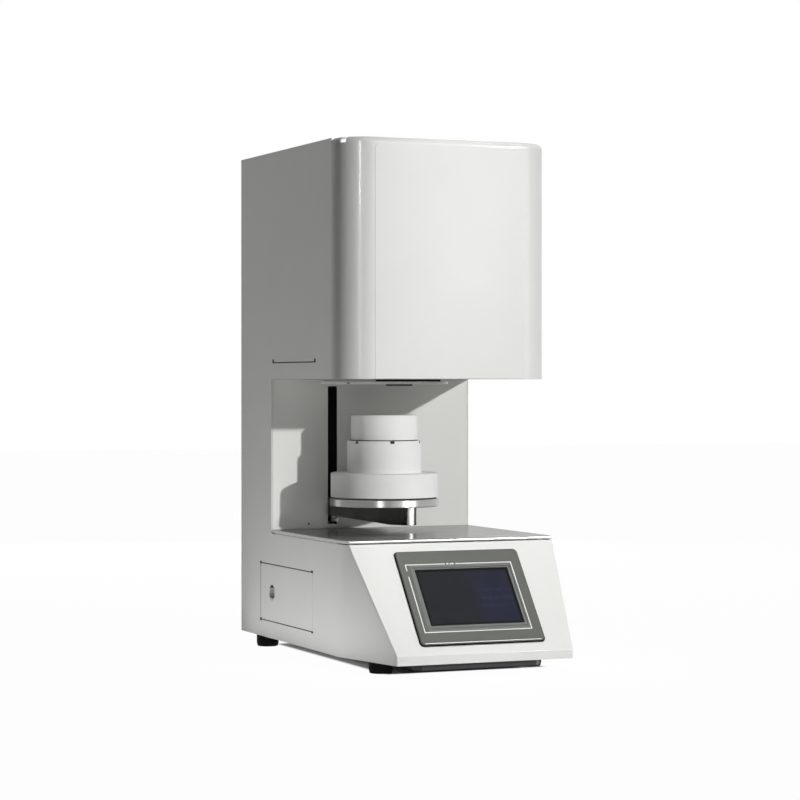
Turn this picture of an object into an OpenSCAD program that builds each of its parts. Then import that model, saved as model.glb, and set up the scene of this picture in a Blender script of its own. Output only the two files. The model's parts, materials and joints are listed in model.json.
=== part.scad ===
// Bottom-loading dental lab furnace: C-shaped housing, heated chamber in the head, lift platform below it.
// X runs to the right seen from the front, the front faces -Y, Z is up, the feet stand on Z = 0.

/* [Housing] */
// Width over the side panels
body_w = 356; // [346:2:380]
// Depth from the front lip to the rear edge
body_d = 602; // [596:2:630]
// Thickness of the painted sheets
skin = 2; // [1.6:0.2:2.4]
// Height of the base, from its bottom edge to the deck line
base_h = 173; // [168:1:185]
// Height of the upright lip under the sloping front
lip_h = 14; // [10:1:18]
// Width of the lip
lip_w = 291; // [280:1:300]
// Level run of the sloping front, from the lip back to the deck
face_run = 126; // [118:1:130]
// Distance from the lip back to where the base sides start to draw in
fold_run = 153; // [145:1:165]
// Height of the loading bay, from the deck line to the head
bay_h = 253; // [250:1:262]
// Height of the head
head_h = 372; // [364:1:400]
// Distance from the lip back to the front of the head
head_set = 133; // [128:1:138]
// Depth of the column behind the loading bay
column_d = 148; // [144:1:156]
// Radius of the head's front corners
corner_r = 52; // [44:1:58]
// Radius of the rounded top edge of the head's front
top_r = 9; // [7:1:11]

/* [Deck] */
// Thickness of the deck sheet
deck_t = 1.5; // [1:0.1:2]
// Height of the deck's turned-down edge
deck_edge = 4.5; // [3.5:0.1:6]
// Open line between the deck's edge and the base
deck_line = 1.5; // [1:0.1:2]

/* [Feet and base tray] */
// Diameter of the rubber feet
foot_d = 37; // [32:1:40]
// Height of the rubber feet
foot_h = 22; // [18:1:26]
// Offset of the front feet from the middle
front_foot_x = 126; // [124:1:130]
// Distance from the lip back to the front feet
front_foot_run = 111; // [100:1:125]
// Offset of the rear feet from the middle
rear_foot_x = 150; // [140:1:154]
// Distance from the rear edge to the rear feet
rear_foot_run = 54; // [45:1:65]
// Width of the tray under the base
tray_w = 210; // [190:2:212]
// Drop of the tray below the base
tray_h = 11; // [8:1:14]

/* [Touch panel] */
// Width of the panel's frame
bezel_w = 205; // [196:1:210]
// Height of the panel's frame along the slope
bezel_h = 168; // [162:1:172]
// Thickness of the panel's frame
bezel_t = 4; // [3:0.5:5]
// Corner radius of the panel's frame
bezel_r = 6; // [4:0.5:9]
// Gap from the deck's front edge down to the frame, along the slope
bezel_drop = 18; // [15:1:20]
// Width of the display
screen_w = 154; // [146:1:160]
// Height of the display along the slope
screen_h = 100; // [92:1:106]
// Depth of the panel's rear housing
panel_depth = 32; // [26:1:38]

/* [Access door] */
// Width of the door in the left side, front to rear
door_w = 237; // [225:1:240]
// Height of the door
door_h = 94; // [88:1:98]
// Height of the door's lower edge above the base's bottom edge
door_z = 28; // [25:1:34]
// Distance from the lip back to the door's front edge
door_run = 268; // [262:1:280]
// Gap round the door
door_gap = 0.8; // [0.6:0.1:1.2]
// Diameter of the finger pull
pull_d = 27; // [24:1:30]

/* [Chamber] */
// Offset of the chamber from the middle
chamber_x = -17; // [-18:1:-14]
// Bore of the chamber
bore_d = 180; // [179:0.5:184]
// Room from the chamber's insulation out to the nearer side of the housing
side_room = 17; // [16:1:25]
// Height of the heated space
chamber_h = 182; // [180:1:190]
// Thickness of the insulation roof
roof_t = 60; // [50:1:66]
// Thickness of the chamber's steel shell
shell_t = 1.5; // [1:0.1:2]
// Drop of the mouth ring below the head
ring_drop = 8; // [7:0.5:9]
// Thickness of the mouth ring's flange
ring_flange = 4.5; // [3.5:0.5:5.5]
// Width of the mouth ring's flange
ring_rim = 13; // [11:1:16]
// Step from the chamber's bore out to the mouth ring's bore
ring_gap = 1; // [0.5:0.25:3]
// Distance from the mouth ring's bore back to the column
ring_back = 5; // [3:0.5:9]

/* [Heating elements] */
// Number of heating elements
element_n = 4; // [4:1:5]
// Distance of the elements from the chamber's wall
element_in = 15; // [14:1:16]
// Spacing of an element's two legs
leg_gap = 36; // [32:1:40]
// Diameter of the hot legs
hot_d = 6; // [5:0.5:7]
// Diameter of the cold ends
cold_d = 12; // [10:0.5:12]

/* [Platform] */
// Rim of the steel platform outside the plug
disc_rim = 1.5; // [0.5:0.25:2.5]
// Thickness of the steel platform
disc_t = 12.5; // [10:0.5:13]
// Clear height under the lowered platform
disc_rest = 40.5; // [38:0.5:44]
// Thickness of the felt on the platform
felt_t = 2.5; // [2:0.1:3]
// Gap between the raised plug and the chamber's wall
plug_gap = 2.5; // [1.75:0.25:4]
// Height of the insulating plug
plug_h = 39.5; // [36:0.5:42]
// Diameter of the crucible
crucible_d = 121; // [116:1:122]
// Height of the crucible
crucible_h = 52; // [48:1:54]
// Step from the crucible's outside in to its cover
cover_step = 6; // [5:0.5:7]
// Height of the crucible's cover above the crucible
cover_h = 42; // [38:1:44]
// Thickness of the crucible's and cover's walls
crucible_wall = 8; // [7:0.5:9]

/* [Lift] */
// Travel of the platform
lift_travel = 193; // [188:1:194]
// Offset of the slot in the column from the middle
slot_x = -69.7; // [-72:0.1:-66]
// Width of the slot
slot_w = 16.6; // [16:0.2:18]
// Width of the arm's neck in the slot
neck_w = 12; // [10:0.5:13]
// Height of the arm's neck
neck_h = 29; // [26:1:29]
// Thickness of the arm at its rounded nose
nose_t = 30; // [26:1:32]
// Diameter of the arm's rounded nose
nose_d = 28; // [24:1:32]
// Width of the guide rail
rail_w = 15; // [12:1:16]
// Diameter of the lead screw
screw_d = 12; // [10:1:12]
// Offset of the lead screw from the slot
screw_off = 36; // [34:1:40]

/* [Rear] */
// Size of the square cooling fan
fan_w = 80; // [76:2:84]
// Width of the rocker switch
switch_w = 22; // [20:1:24]

/* [Hidden] */
$fn = 96;

// Clearances between pieces that touch or slide
fit = 0.3;
running_fit = 0.05;
tiny = 0.01;
over = 1;

// Main levels and planes
front_y = -body_d / 2;
rear_y = body_d / 2;
base_z = foot_h;
deck_z = base_z + base_h;
deck_top = deck_z + deck_line + deck_edge;
head_z = deck_z + bay_h;
top_z = head_z + head_h;
head_y = front_y + head_set;
column_y = rear_y - column_d;
face_y = front_y + face_run;
fold_y = front_y + fold_run;
half_w = body_w / 2;
inner_w = body_w - 2 * skin;
cover_seam_y = head_y + corner_r;
rear_in = 2;
rear_cover_y = rear_y - rear_in - skin;
top_cover_z = top_z - top_r - 1;

// Plan of the base, whose sides draw in towards the lip
draw_in = (half_w - lip_w / 2) / fold_run;
draw_k = sqrt(1 + draw_in * draw_in);
function inset_x(y, t) = y > fold_y ? half_w - t : half_w - draw_in * (fold_y - y) - t * draw_k;
function half_plan(y0, y1, t) = [
    [inset_x(y0, t), y0],
    [half_w - t, fold_y - t * (1 - draw_k) / draw_in],
    [half_w - t, y1]];
function mirrored(points) = [for (i = [len(points) - 1:-1:0]) [-points[i][0], points[i][1]]];
function plan(y0, y1, t) = concat(half_plan(y0, y1, t), mirrored(half_plan(y0, y1, t)));

// Sloping face
face_rise = base_h - lip_h;
face_a = atan2(face_rise, face_run);
face_l = sqrt(face_rise * face_rise + face_run * face_run);
bezel_mid = face_l - bezel_drop - bezel_h / 2;
panel_in = 9;
panel_w = bezel_w - 2 * panel_in;
panel_h = bezel_h - 2 * panel_in;

// Side view of the base, cut back by t behind the lip and the face
function base_profile(t) = [
    [rear_y, base_z],
    [front_y + t, base_z],
    [front_y + t, base_z + lip_h - t * (1 - cos(face_a)) / sin(face_a)],
    [face_y + t / sin(face_a), deck_z],
    [rear_y, deck_z]];

// Chamber and platform levels
ring_bore = bore_d + 2 * ring_gap;
chamber_y = column_y - ring_bore / 2 - ring_back;
insulation_d = body_w - 2 * (side_room - chamber_x);
wall_t = (insulation_d - bore_d) / 2;
ring_d = ring_bore + 2 * ring_rim;
element_pcd = bore_d - 2 * element_in;
plug_d = bore_d - 2 * plug_gap;
disc_d = plug_d + 2 * disc_rim;
cover_d = crucible_d - 2 * cover_step;
chamber_z = head_z + skin;
roof_z = chamber_z + chamber_h - skin;
roof_top = roof_z + roof_t;
disc_z = deck_top + disc_rest;
plug_z = disc_z + disc_t + felt_t;
crucible_z = plug_z + plug_h;
cover_z = crucible_z + crucible_h;
cover_spigot = 6;

// Lift levels and planes
neck_top = disc_z;
neck_z = neck_top - neck_h;
slot_under = 4.5;
slot_over = 2;
slot_z = neck_z - slot_under;
slot_top = neck_top + lift_travel + slot_over;
arm_set = 12;
arm_y = column_y - arm_set;
carriage_set = 37;
carriage_t = 19;
carriage_under = 8;
carriage_y = column_y + carriage_set;
carriage_z = neck_z - carriage_under;
carriage_h = 46;
screw_set = 10;
screw_x = slot_x + screw_off;
screw_y = carriage_y + screw_set;
rail_t = 9;
plate_gap = 5;
plate_side = 30;
plate_rise = 130;
plate_over = 60;
plate_y = carriage_y + carriage_t + plate_gap;
plate_t = 6;
plate_back = plate_y + plate_t;
plate_z = base_z + plate_rise;
plate_top = head_z + plate_over;
bearing_w = 30;
bearing_t = 10;
bearing_drop = 14;
bearing_z = deck_z - bearing_drop;
screw_short = 5;
screw_top = head_z - screw_short;
motor_w = 57;
motor_h = 56;
motor_z = base_z + skin;
coupling_d = 22;
coupling_gap = 14;
coupling_z = motor_z + motor_h + coupling_gap;
coupling_h = 30;
nut_wall = 4;
nut_h = 24;
nut_z = carriage_z + 10;
nut_d = screw_d + 2 * nut_wall;
shaft_d = 8;

// Side door
pull_fit = 0.2;
door_front = front_y + door_run;
door_back = door_front + door_w;
door_low = base_z + door_z;
door_top = door_low + door_h;
hinge_r = 2;
hinge_gap = 0.4;
hinge_pin_r = 1.2;
hinge_x = -half_w + hinge_r;
pin_in = 6;
relief_l = 8;
relief_h = 5;
pull_in = 54;
pull_y = door_back - pull_in;
pull_z = (door_low + door_top) / 2;

// Chassis bars
bar = 10;
bar_gap = 0.5;
bar_x = half_w - skin - bar_gap - bar / 2;
post_gap = 6;

module box(low, high) {
    translate(low) cube(high - low);
}

// Cylinder along Y, X or Z, from a start point
module rod_y(at, d, l) {
    translate(at) rotate([-90, 0, 0]) cylinder(d = d, h = l);
}

module rod_x(at, d, l) {
    translate(at) rotate([0, 90, 0]) cylinder(d = d, h = l);
}

module tube(d, bore, h) {
    difference() {
        cylinder(d = d, h = h);
        translate([0, 0, -over]) cylinder(d = bore, h = h + 2 * over);
    }
}

// Plate with rounded corners, centred in X and Y, standing on Z = 0
module rounded_plate(w, h, r, t) {
    translate([-w / 2 + r, -h / 2, 0]) cube([w - 2 * r, h, t]);
    translate([-w / 2, -h / 2 + r, 0]) cube([w, h - 2 * r, t]);
    for (sx = [-1, 1], sy = [-1, 1]) {
        translate([sx * (w / 2 - r), sy * (h / 2 - r), 0]) cylinder(r = r, h = t);
    }
}

// Side view drawn in Y and Z, extruded over the whole width
module across(x0, x1) {
    translate([x0, 0, 0]) rotate([90, 0, 90]) linear_extrude(x1 - x0) children();
}

// Frame of the sloping face: X right, Y up the slope, Z out of the face, origin at the lip's upper edge
module on_face() {
    translate([0, front_y, base_z + lip_h]) rotate([face_a, 0, 0]) children();
}

module at_chamber(z) {
    translate([chamber_x, chamber_y, z]) children();
}

// Side panels

// Side view of one C-shaped side panel, stopping short of the face and of the head's front cover
module side_profile() {
    polygon(concat(
        [[rear_y, base_z]],
        [for (i = [1:3]) base_profile(skin)[i]],
        [[column_y, deck_z], [column_y, head_z], [cover_seam_y + fit / 2, head_z],
         [cover_seam_y + fit / 2, top_z], [rear_y, top_z]]));
}

module right_wall() {
    strip = concat(half_plan(front_y, rear_y, 0), [for (i = [2:-1:0]) half_plan(front_y, rear_y, skin)[i]]);
    intersection() {
        translate([0, 0, base_z - over]) linear_extrude(top_z - base_z + 2 * over) polygon(strip);
        across(0, half_w + over) side_profile();
    }
}

// Thin bracket-shaped slit low in the side of the head
slit_w = 1.2;
slit_z = head_z + 26.5;
slit_tick = 6;
slit_end = 6;
slit_y0 = head_y + 119;
slit_y1 = head_y + 315;

module side_slit() {
    box([-half_w - over, slit_y0, slit_z], [half_w + over, slit_y1, slit_z + slit_w]);
    for (y = [slit_y0, slit_y1 - slit_end]) {
        box([-half_w - over, y, slit_z], [half_w + over, y + slit_end, slit_z + slit_tick]);
    }
}

// Column edge turned in behind the column's front panel, so the panel has something to screw to
flange_w = 14;

module column_flange() {
    y = column_y + skin + fit;
    box([half_w - flange_w, y, deck_z + bar], [half_w - skin + tiny, y + skin, head_z - over]);
}

module right_side_panel() {
    color("gainsboro") difference() {
        union() {
            right_wall();
            column_flange();
        }
        side_slit();
    }
}

module left_side_panel() {
    color("gainsboro") difference() {
        mirror([1, 0, 0]) union() {
            right_wall();
            column_flange();
        }
        side_slit();
        box([-half_w - over, door_front - hinge_r - hinge_gap, door_low],
            [-half_w + skin + over, door_back, door_top]);
        for (y = [door_front, door_back], z = [door_low, door_top]) {
            door_relief(y, z);
        }
    }
}

// Open corner between the door and its frame
module door_relief(y, z) {
    box([-half_w - over, y - relief_l / 2, z - relief_h / 2],
        [-half_w + skin + over, y + relief_l / 2, z + relief_h / 2]);
}

// Side door, hung on two short pins at its front edge
module access_door() {
    low = door_low + door_gap;
    high = door_top - door_gap;
    color("gainsboro") difference() {
        union() {
            box([-half_w, door_front, low], [-half_w + skin, door_back - door_gap, high]);
            translate([hinge_x, door_front, low]) cylinder(r = hinge_r, h = high - low);
        }
        for (z = [low - over, high - pin_in]) {
            translate([hinge_x, door_front, z]) cylinder(r = hinge_pin_r + running_fit, h = pin_in + over);
        }
        rod_x([-half_w - over, pull_y, pull_z], pull_d + pull_fit, skin + 2 * over);
        for (z = [door_low, door_top]) {
            door_relief(door_back, z);
        }
    }
}

module door_hinge_pins() {
    pin_out = 2.2;
    reach = pin_in - over + door_gap + pin_out;
    block = 6;
    color("dimgray") for (side = [0, 1]) {
        z0 = side == 0 ? door_low - pin_out : door_top + pin_out - reach;
        b0 = side == 0 ? door_low - block : door_top + fit;
        union() {
            translate([hinge_x, door_front, z0]) cylinder(r = hinge_pin_r, h = reach);
            box([-half_w + skin, door_front - block / 2, b0],
                [-half_w + skin + block, door_front + block / 2, b0 + block - fit]);
        }
    }
}

// Recessed finger pull in the door
module door_pull() {
    depth = 9;
    flange = 3;
    flange_t = 1.5;
    wall = 1.5;
    low = pull_z - pull_d * 0.32;
    color("silver") difference() {
        union() {
            rod_x([-half_w + pull_fit, pull_y, pull_z], pull_d, depth);
            rod_x([-half_w + skin + pull_fit / 2, pull_y, pull_z], pull_d + 2 * flange, flange_t);
        }
        intersection() {
            rod_x([-half_w - over, pull_y, pull_z], pull_d - 2 * wall, depth);
            box([-half_w - over, pull_y - pull_d, low], [-half_w + depth, pull_y + pull_d, pull_z + pull_d]);
        }
    }
}

// Head front cover: rounded corners, rounded top edge, closed top strip

// Outline of the cover's half section: radius r at the side, rounded at the top by t
module cover_edge(r, high, t) {
    difference() {
        square([r, high]);
        translate([r - t, high - t]) difference() {
            square([t + over, t + over]);
            circle(r = t);
        }
    }
}

module cover_solid(inset, low, high) {
    r = corner_r - inset;
    t = top_r - inset;
    x = half_w - corner_r;
    translate([0, 0, low]) {
        for (sx = [-1, 1]) {
            intersection() {
                translate([sx * x, cover_seam_y, 0]) rotate_extrude() cover_edge(r, high - low, t);
                box([sx > 0 ? x : -half_w - over, head_y - over, -over],
                    [sx > 0 ? half_w + over : -x, cover_seam_y, high - low + over]);
            }
        }
        translate([-x, cover_seam_y, 0]) rotate([90, 0, 90]) linear_extrude(2 * x)
            mirror([1, 0]) cover_edge(r, high - low, t);
    }
}

// Bend relief notches at both corners of the rounded top edge
relief_w = 10;
relief_in = 20;
relief_a = 33;

module head_front_cover() {
    rim = 6;
    color("whitesmoke") difference() {
        cover_solid(0, head_z, top_z);
        cover_solid(skin, head_z - over, top_z - skin);
        front_plan(corner_r - top_r - rim, top_z - 2 * skin, top_z + over);
        for (a = [-relief_a, relief_a - 180]) {
            translate([a > -90 ? half_w - corner_r : corner_r - half_w, cover_seam_y, top_z - top_r])
                rotate([0, 0, a]) translate([corner_r - relief_in, -relief_w / 2, 0])
                    cube([relief_in + over, relief_w, top_r + over]);
        }
    }
}

// Level sheet, sunk inside the rim of the side panels and the head's front
module top_cover() {
    vent_w = 70;
    vent_t = 4;
    vent_step = 12;
    z = top_cover_z - skin;
    color("gainsboro") difference() {
        head_plan(rear_cover_y - fit, z, top_cover_z);
        for (i = [0:7], sx = [-1, 1]) {
            translate([sx * vent_w, chamber_y + 60 + i * vent_step, z - over])
                rounded_plate(vent_w, vent_t, vent_t / 2 - tiny, skin + 2 * over);
        }
        top_screw_places() cylinder(d = screw_hole, h = 3 * skin, center = true);
    }
}
screw_hole = 3.4;
screw_head = 6.5;

module top_screw_places() {
    y0 = cover_seam_y + 20;
    y1 = rear_cover_y - 20;
    for (sx = [-1, 1], y = [y0, (y0 + y1) / 2, y1]) {
        translate([sx * bar_x, y, top_cover_z]) children();
    }
}

module top_cover_screws() {
    color("silver") top_screw_places() pan_screw(skin + bar / 2);
}

// Pan-head screw with its head on Z = 0
module pan_screw(length) {
    translate([0, 0, -length]) cylinder(d = screw_hole - 2 * fit, h = length);
    difference() {
        cylinder(d = screw_head, h = 1.6);
        translate([0, 0, 0.8]) cylinder(d = 2.6, h = 2, $fn = 6);
    }
}

// Rear

fan_side = 118;
fan_rise = 150;
fan_depth = 25;
fan_x = half_w - fan_side;
fan_z = deck_z + fan_rise;
inlet_side = 68;
switch_pitch = 55;
socket_rise = 60;
inlet_x = -half_w + inlet_side;
switch_x = inlet_x + switch_pitch;
socket_z = base_z + socket_rise;
inlet_w = 47.4;
inlet_h = 27.4;
switch_h = 29.4;
cut_gap = 0.3;
fan_lip = 8;

module rear_cover() {
    low = base_z + fit;
    high = top_z;
    vent_w = 60;
    color("gainsboro") difference() {
        box([-inner_w / 2 + fit, rear_cover_y, low], [inner_w / 2 - fit, rear_cover_y + skin, high]);
        rod_y([fan_x, rear_cover_y - over, fan_z], fan_w - fan_lip, skin + 2 * over);
        rear_cut(inlet_x, inlet_w / 2 + cut_gap, inlet_h / 2 + cut_gap);
        rear_cut(switch_x, switch_w / 2, switch_h / 2 + cut_gap);
        for (i = [0:11], x = [-90, 0, 90]) {
            translate([x, rear_cover_y + skin / 2, head_z + 200 + i * 12]) rotate([90, 0, 0])
                translate([0, 0, -skin]) rounded_plate(vent_w, 4, 1.9, 2 * skin);
        }
        for (i = [0:5], x = [40, 120]) {
            translate([x, rear_cover_y + skin / 2, base_z + 50 + i * 12]) rotate([90, 0, 0])
                translate([0, 0, -skin]) rounded_plate(vent_w, 4, 1.9, 2 * skin);
        }
        rear_screw_places() rotate([90, 0, 0]) cylinder(d = screw_hole, h = 3 * skin, center = true);
    }
}

module rear_cut(x, w, h) {
    box([x - w, rear_cover_y - over, socket_z - h], [x + w, rear_y, socket_z + h]);
}

module rear_screw_places() {
    for (sx = [-1, 1], z = [base_z + 20, deck_z - 13, head_z + 8, (head_z + top_z) / 2, top_cover_z - 24]) {
        translate([sx * bar_x, rear_cover_y + skin, z]) children();
    }
}

module rear_cover_screws() {
    color("silver") rear_screw_places() rotate([-90, 0, 0]) pan_screw(skin + bar / 2);
}

fan_y = rear_cover_y - fan_depth - fit;
fan_duct = fan_w - 6;
axle_d = 5;
axle_h = 12;

module fan_frame() {
    hole = 4.4;
    pitch = fan_w - 9.5;
    spider = 6;
    spider_t = 3;
    boss_d = 32;
    low = [fan_x - fan_w / 2, fan_y, fan_z - fan_w / 2];
    color("dimgray") difference() {
        union() {
            difference() {
                box(low, low + [fan_w, fan_depth, fan_w]);
                rod_y([fan_x, fan_y - over, fan_z], fan_duct, fan_depth + 2 * over);
            }
            intersection() {
                rod_y([fan_x, fan_y, fan_z], fan_w - 4, spider_t);
                for (a = [0, 90]) {
                    translate([fan_x, fan_y, fan_z]) rotate([0, a, 0])
                        translate([-spider / 2, 0, -fan_w / 2]) cube([spider, spider_t, fan_w]);
                }
            }
            rod_y([fan_x, fan_y, fan_z], boss_d, spider_t);
            rod_y([fan_x, fan_y + spider_t - over, fan_z], axle_d, axle_h);
        }
        for (x = [-pitch / 2, pitch / 2], z = [-pitch / 2, pitch / 2]) {
            rod_y([fan_x + x, fan_y - over, fan_z + z], hole, fan_depth + 2 * over);
        }
    }
}

// Hub and blades, bored to run on the frame's short axle
module fan_rotor() {
    depth = 18;
    blades = 7;
    blade_w = 20;
    blade_t = 1.8;
    blade_a = 38;
    hub = 34;
    y0 = fan_y + 4;
    color("black") difference() {
        union() {
            rod_y([fan_x, y0, fan_z], hub, depth);
            for (i = [0:blades - 1]) {
                translate([fan_x, y0 + depth / 2, fan_z]) rotate([0, i * 360 / blades, 0])
                    translate([0, 0, hub / 2 - over]) rotate([0, 0, blade_a])
                        translate([-blade_w / 2, -blade_t / 2, 0])
                            cube([blade_w, blade_t, (fan_duct - hub) / 2 - over]);
            }
        }
        rod_y([fan_x, y0 - over, fan_z], axle_d + 2 * running_fit, axle_h - 2 + over);
    }
}

module fan_guard() {
    wire = 1.6;
    ring_in = 14;
    ring_step = 8;
    reach = fan_w / 2 + 6;
    y = rear_cover_y + skin + wire / 2;
    color("silver") union() {
        for (r = [ring_in:ring_step:fan_w / 2 - 6]) {
            translate([fan_x, y, fan_z]) rotate([90, 0, 0]) rotate_extrude()
                translate([r, 0]) circle(d = wire, $fn = 16);
        }
        for (a = [45, 135]) {
            translate([fan_x, y, fan_z]) rotate([0, a, 0]) translate([-reach, 0, 0]) rotate([0, 90, 0])
                cylinder(d = wire, h = 2 * reach, $fn = 16);
        }
    }
}

module power_inlet() {
    depth = 30;
    proud = 1.8;
    wings = 3;
    socket_w = 28;
    socket_h = 16;
    socket_d = 16;
    pin_short = 4;
    w = inlet_w / 2;
    h = inlet_h / 2;
    y1 = rear_cover_y + skin;
    color("black") difference() {
        union() {
            box([inlet_x - w, y1 - depth, socket_z - h], [inlet_x + w, y1 + proud, socket_z + h]);
            box([inlet_x - w - wings, rear_cover_y - fit - wings, socket_z - h - wings],
                [inlet_x + w + wings, rear_cover_y - fit, socket_z + h + wings]);
        }
        box([inlet_x - socket_w / 2, y1 - socket_d, socket_z - socket_h / 2],
            [inlet_x + socket_w / 2, y1 + proud + over, socket_z + socket_h / 2]);
    }
    color("silver") for (p = [[-7, -2], [0, 3], [7, -2]]) {
        box([inlet_x + p[0] - 1, y1 - socket_d - tiny, socket_z + p[1] - 2],
            [inlet_x + p[0] + 1, y1 - pin_short, socket_z + p[1] + 2]);
    }
}

pivot_d = 3;
switch_wall = 2;
switch_body_w = switch_w - 2 * cut_gap;
rocker_y = rear_cover_y + skin - 6;

module switch_body() {
    w = switch_body_w / 2;
    h = switch_h / 2;
    depth = 24;
    well = 13;
    proud = 1.5;
    y1 = rear_cover_y + skin;
    color("black") difference() {
        box([switch_x - w, y1 - depth, socket_z - h], [switch_x + w, y1 + proud, socket_z + h]);
        box([switch_x - w + switch_wall, y1 - well, socket_z - h + switch_wall],
            [switch_x + w - switch_wall, y1 + proud + over, socket_z + h - switch_wall]);
    }
    color("black") rod_x([switch_x - w + over, rocker_y, socket_z], pivot_d, 2 * w - 2 * over);
}

// Rocker, tipped to its off side at rest
module switch_rocker() {
    w = switch_body_w - 2 * switch_wall - 2 * fit;
    l = 23;
    t = 9.4;
    behind = 3;
    dish_r = 16;
    dish_y = 21;
    tip = 8;
    color("firebrick") difference() {
        translate([switch_x, rocker_y, socket_z]) rotate([-tip, 0, 0]) difference() {
            translate([-w / 2, -behind, -l / 2]) cube([w, t, l]);
            translate([-w / 2 - over, dish_y, 0]) rotate([0, 90, 0]) cylinder(r = dish_r, h = w + 2 * over);
        }
        rod_x([switch_x - w, rocker_y, socket_z], pivot_d + 2 * running_fit, 2 * w);
    }
}

// Head floor, mouth and chamber

module head_floor() {
    tongue_y = chamber_y + insulation_d / 2 + 4;
    tongue_x = half_w - skin - bar - 3;
    color("gainsboro") difference() {
        union() {
            head_plan(column_y + skin, head_z, head_z + skin);
            box([-tongue_x, column_y, head_z], [tongue_x, tongue_y, head_z + skin]);
        }
        at_chamber(head_z - over) cylinder(d = ring_bore + 4, h = skin + 2 * over);
    }
}

// Level block that fits inside the head, back to y1
module head_plan(y1, low, high) {
    x = half_w - corner_r;
    r = corner_r - skin - fit;
    union() {
        for (sx = [-1, 1]) {
            translate([sx * x, cover_seam_y, low]) cylinder(r = r, h = high - low);
        }
        box([-x, cover_seam_y - r, low], [x, cover_seam_y + over, high]);
        box([-x - r, cover_seam_y, low], [x + r, y1, high]);
    }
}

// Block that follows the head's rounded front in plan, with corners of radius r
module front_plan(r, low, high) {
    x = half_w - corner_r;
    intersection() {
        union() {
            for (sx = [-1, 1]) {
                translate([sx * x, cover_seam_y, low]) cylinder(r = r, h = high - low);
            }
            box([-x, cover_seam_y - r, low], [x, cover_seam_y + over, high]);
        }
        box([-half_w, head_y, low - over], [half_w, cover_seam_y, high + over]);
    }
}

module mouth_ring() {
    low = head_z - ring_drop;
    collar_in = 5;
    color("silver") difference() {
        at_chamber(low) union() {
            tube(ring_d, ring_bore, ring_flange);
            tube(ring_d - 2 * collar_in, ring_bore, ring_drop);
            tube(ring_bore + 4 - 2 * fit, ring_bore, ring_drop + skin);
        }
        box([chamber_x - ring_d, column_y - fit, low - over],
            [chamber_x + ring_d, rear_y, head_z + skin + over]);
    }
}

module insulation_wall() {
    color("white") difference() {
        at_chamber(chamber_z) tube(insulation_d, bore_d, roof_z - chamber_z);
        thermocouple_hole();
    }
}

module element_places() {
    for (i = [0:element_n - 1]) {
        at_chamber(0) rotate([0, 0, 45 + i * 360 / element_n]) translate([element_pcd / 2, 0, 0]) children();
    }
}

module insulation_roof() {
    color("white") difference() {
        at_chamber(roof_z) cylinder(d = insulation_d, h = roof_t);
        element_places() for (s = [-1, 1]) {
            translate([0, s * leg_gap / 2, roof_z - over]) cylinder(d = cold_d + 2, h = roof_t + 2 * over);
        }
    }
}

module chamber_shell() {
    foot_t = 8;
    color("silver") difference() {
        at_chamber(chamber_z) union() {
            tube(insulation_d + 2 * shell_t + 2 * fit, insulation_d + 2 * fit, roof_top - chamber_z);
            translate([0, 0, roof_top - chamber_z + fit])
                cylinder(d = insulation_d + 2 * shell_t + 2 * fit, h = shell_t);
            translate([0, 0, roof_top - chamber_z - tiny])
                tube(insulation_d + 2 * shell_t + 2 * fit, insulation_d + 2 * fit, fit + 2 * tiny);
        }
        element_places() for (s = [-1, 1]) {
            translate([0, s * leg_gap / 2, roof_top - over]) cylinder(d = cold_d + 8, h = foot_t);
        }
        thermocouple_hole();
    }
}

// Elements hang into the heated space, clear of the closed crucible
element_low = crucible_z + lift_travel + 9;
holder_z = roof_top + shell_t + fit;
holder_h = 12;
element_top = holder_z + holder_h + 26;

module heating_elements() {
    bend = leg_gap / 2;
    cold_z = roof_z - 14;
    color("dimgray") element_places() union() {
        for (s = [-1, 1]) {
            translate([0, s * bend, element_low + bend])
                cylinder(d = hot_d, h = cold_z - element_low - bend + over);
            translate([0, s * bend, cold_z]) cylinder(d = cold_d, h = element_top - cold_z);
        }
        intersection() {
            translate([0, 0, element_low + bend]) rotate([0, 90, 0]) rotate_extrude()
                translate([bend, 0]) circle(d = hot_d, $fn = 24);
            translate([-hot_d, -bend - hot_d, element_low - hot_d])
                cube([2 * hot_d, 2 * bend + 2 * hot_d, bend + hot_d]);
        }
    }
}

module element_holders() {
    w = 24;
    color("ivory") element_places() difference() {
        translate([-w / 2, -leg_gap / 2 - w / 2, holder_z]) cube([w, leg_gap + w, holder_h]);
        for (s = [-1, 1]) {
            translate([0, s * leg_gap / 2, holder_z - over])
                cylinder(d = cold_d + 2 * fit, h = holder_h + 2 * over);
        }
    }
}

// Flat straps that join neighbouring elements in series
module element_straps() {
    w = 14;
    t = 3;
    z = element_top - 16;
    a = 360 / element_n;
    color("silver") for (i = [0:element_n - 1]) {
        if (i < element_n - 1) {
            at_chamber(z) rotate([0, 0, 45 + i * a]) difference() {
                strap_link(a, w, t);
                strap_holes(a, t);
            }
        }
    }
}

module strap_holes(a, t) {
    translate([element_pcd / 2, leg_gap / 2, -over])
        cylinder(d = cold_d + 2 * running_fit, h = t + 2 * over);
    rotate([0, 0, a]) translate([element_pcd / 2, -leg_gap / 2, -over])
        cylinder(d = cold_d + 2 * running_fit, h = t + 2 * over);
}

module strap_link(a, w, t) {
    p0 = [element_pcd / 2, leg_gap / 2];
    p1 = [element_pcd / 2 * cos(a) + leg_gap / 2 * sin(a), element_pcd / 2 * sin(a) - leg_gap / 2 * cos(a)];
    v = p1 - p0;
    l = sqrt(v * v);
    translate([p0[0], p0[1], 0]) rotate([0, 0, atan2(v[1], v[0])]) union() {
        translate([0, -w / 2, 0]) cube([l, w, t]);
        cylinder(d = w + 6, h = t);
        translate([l, 0, 0]) cylinder(d = w + 6, h = t);
    }
}

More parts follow.
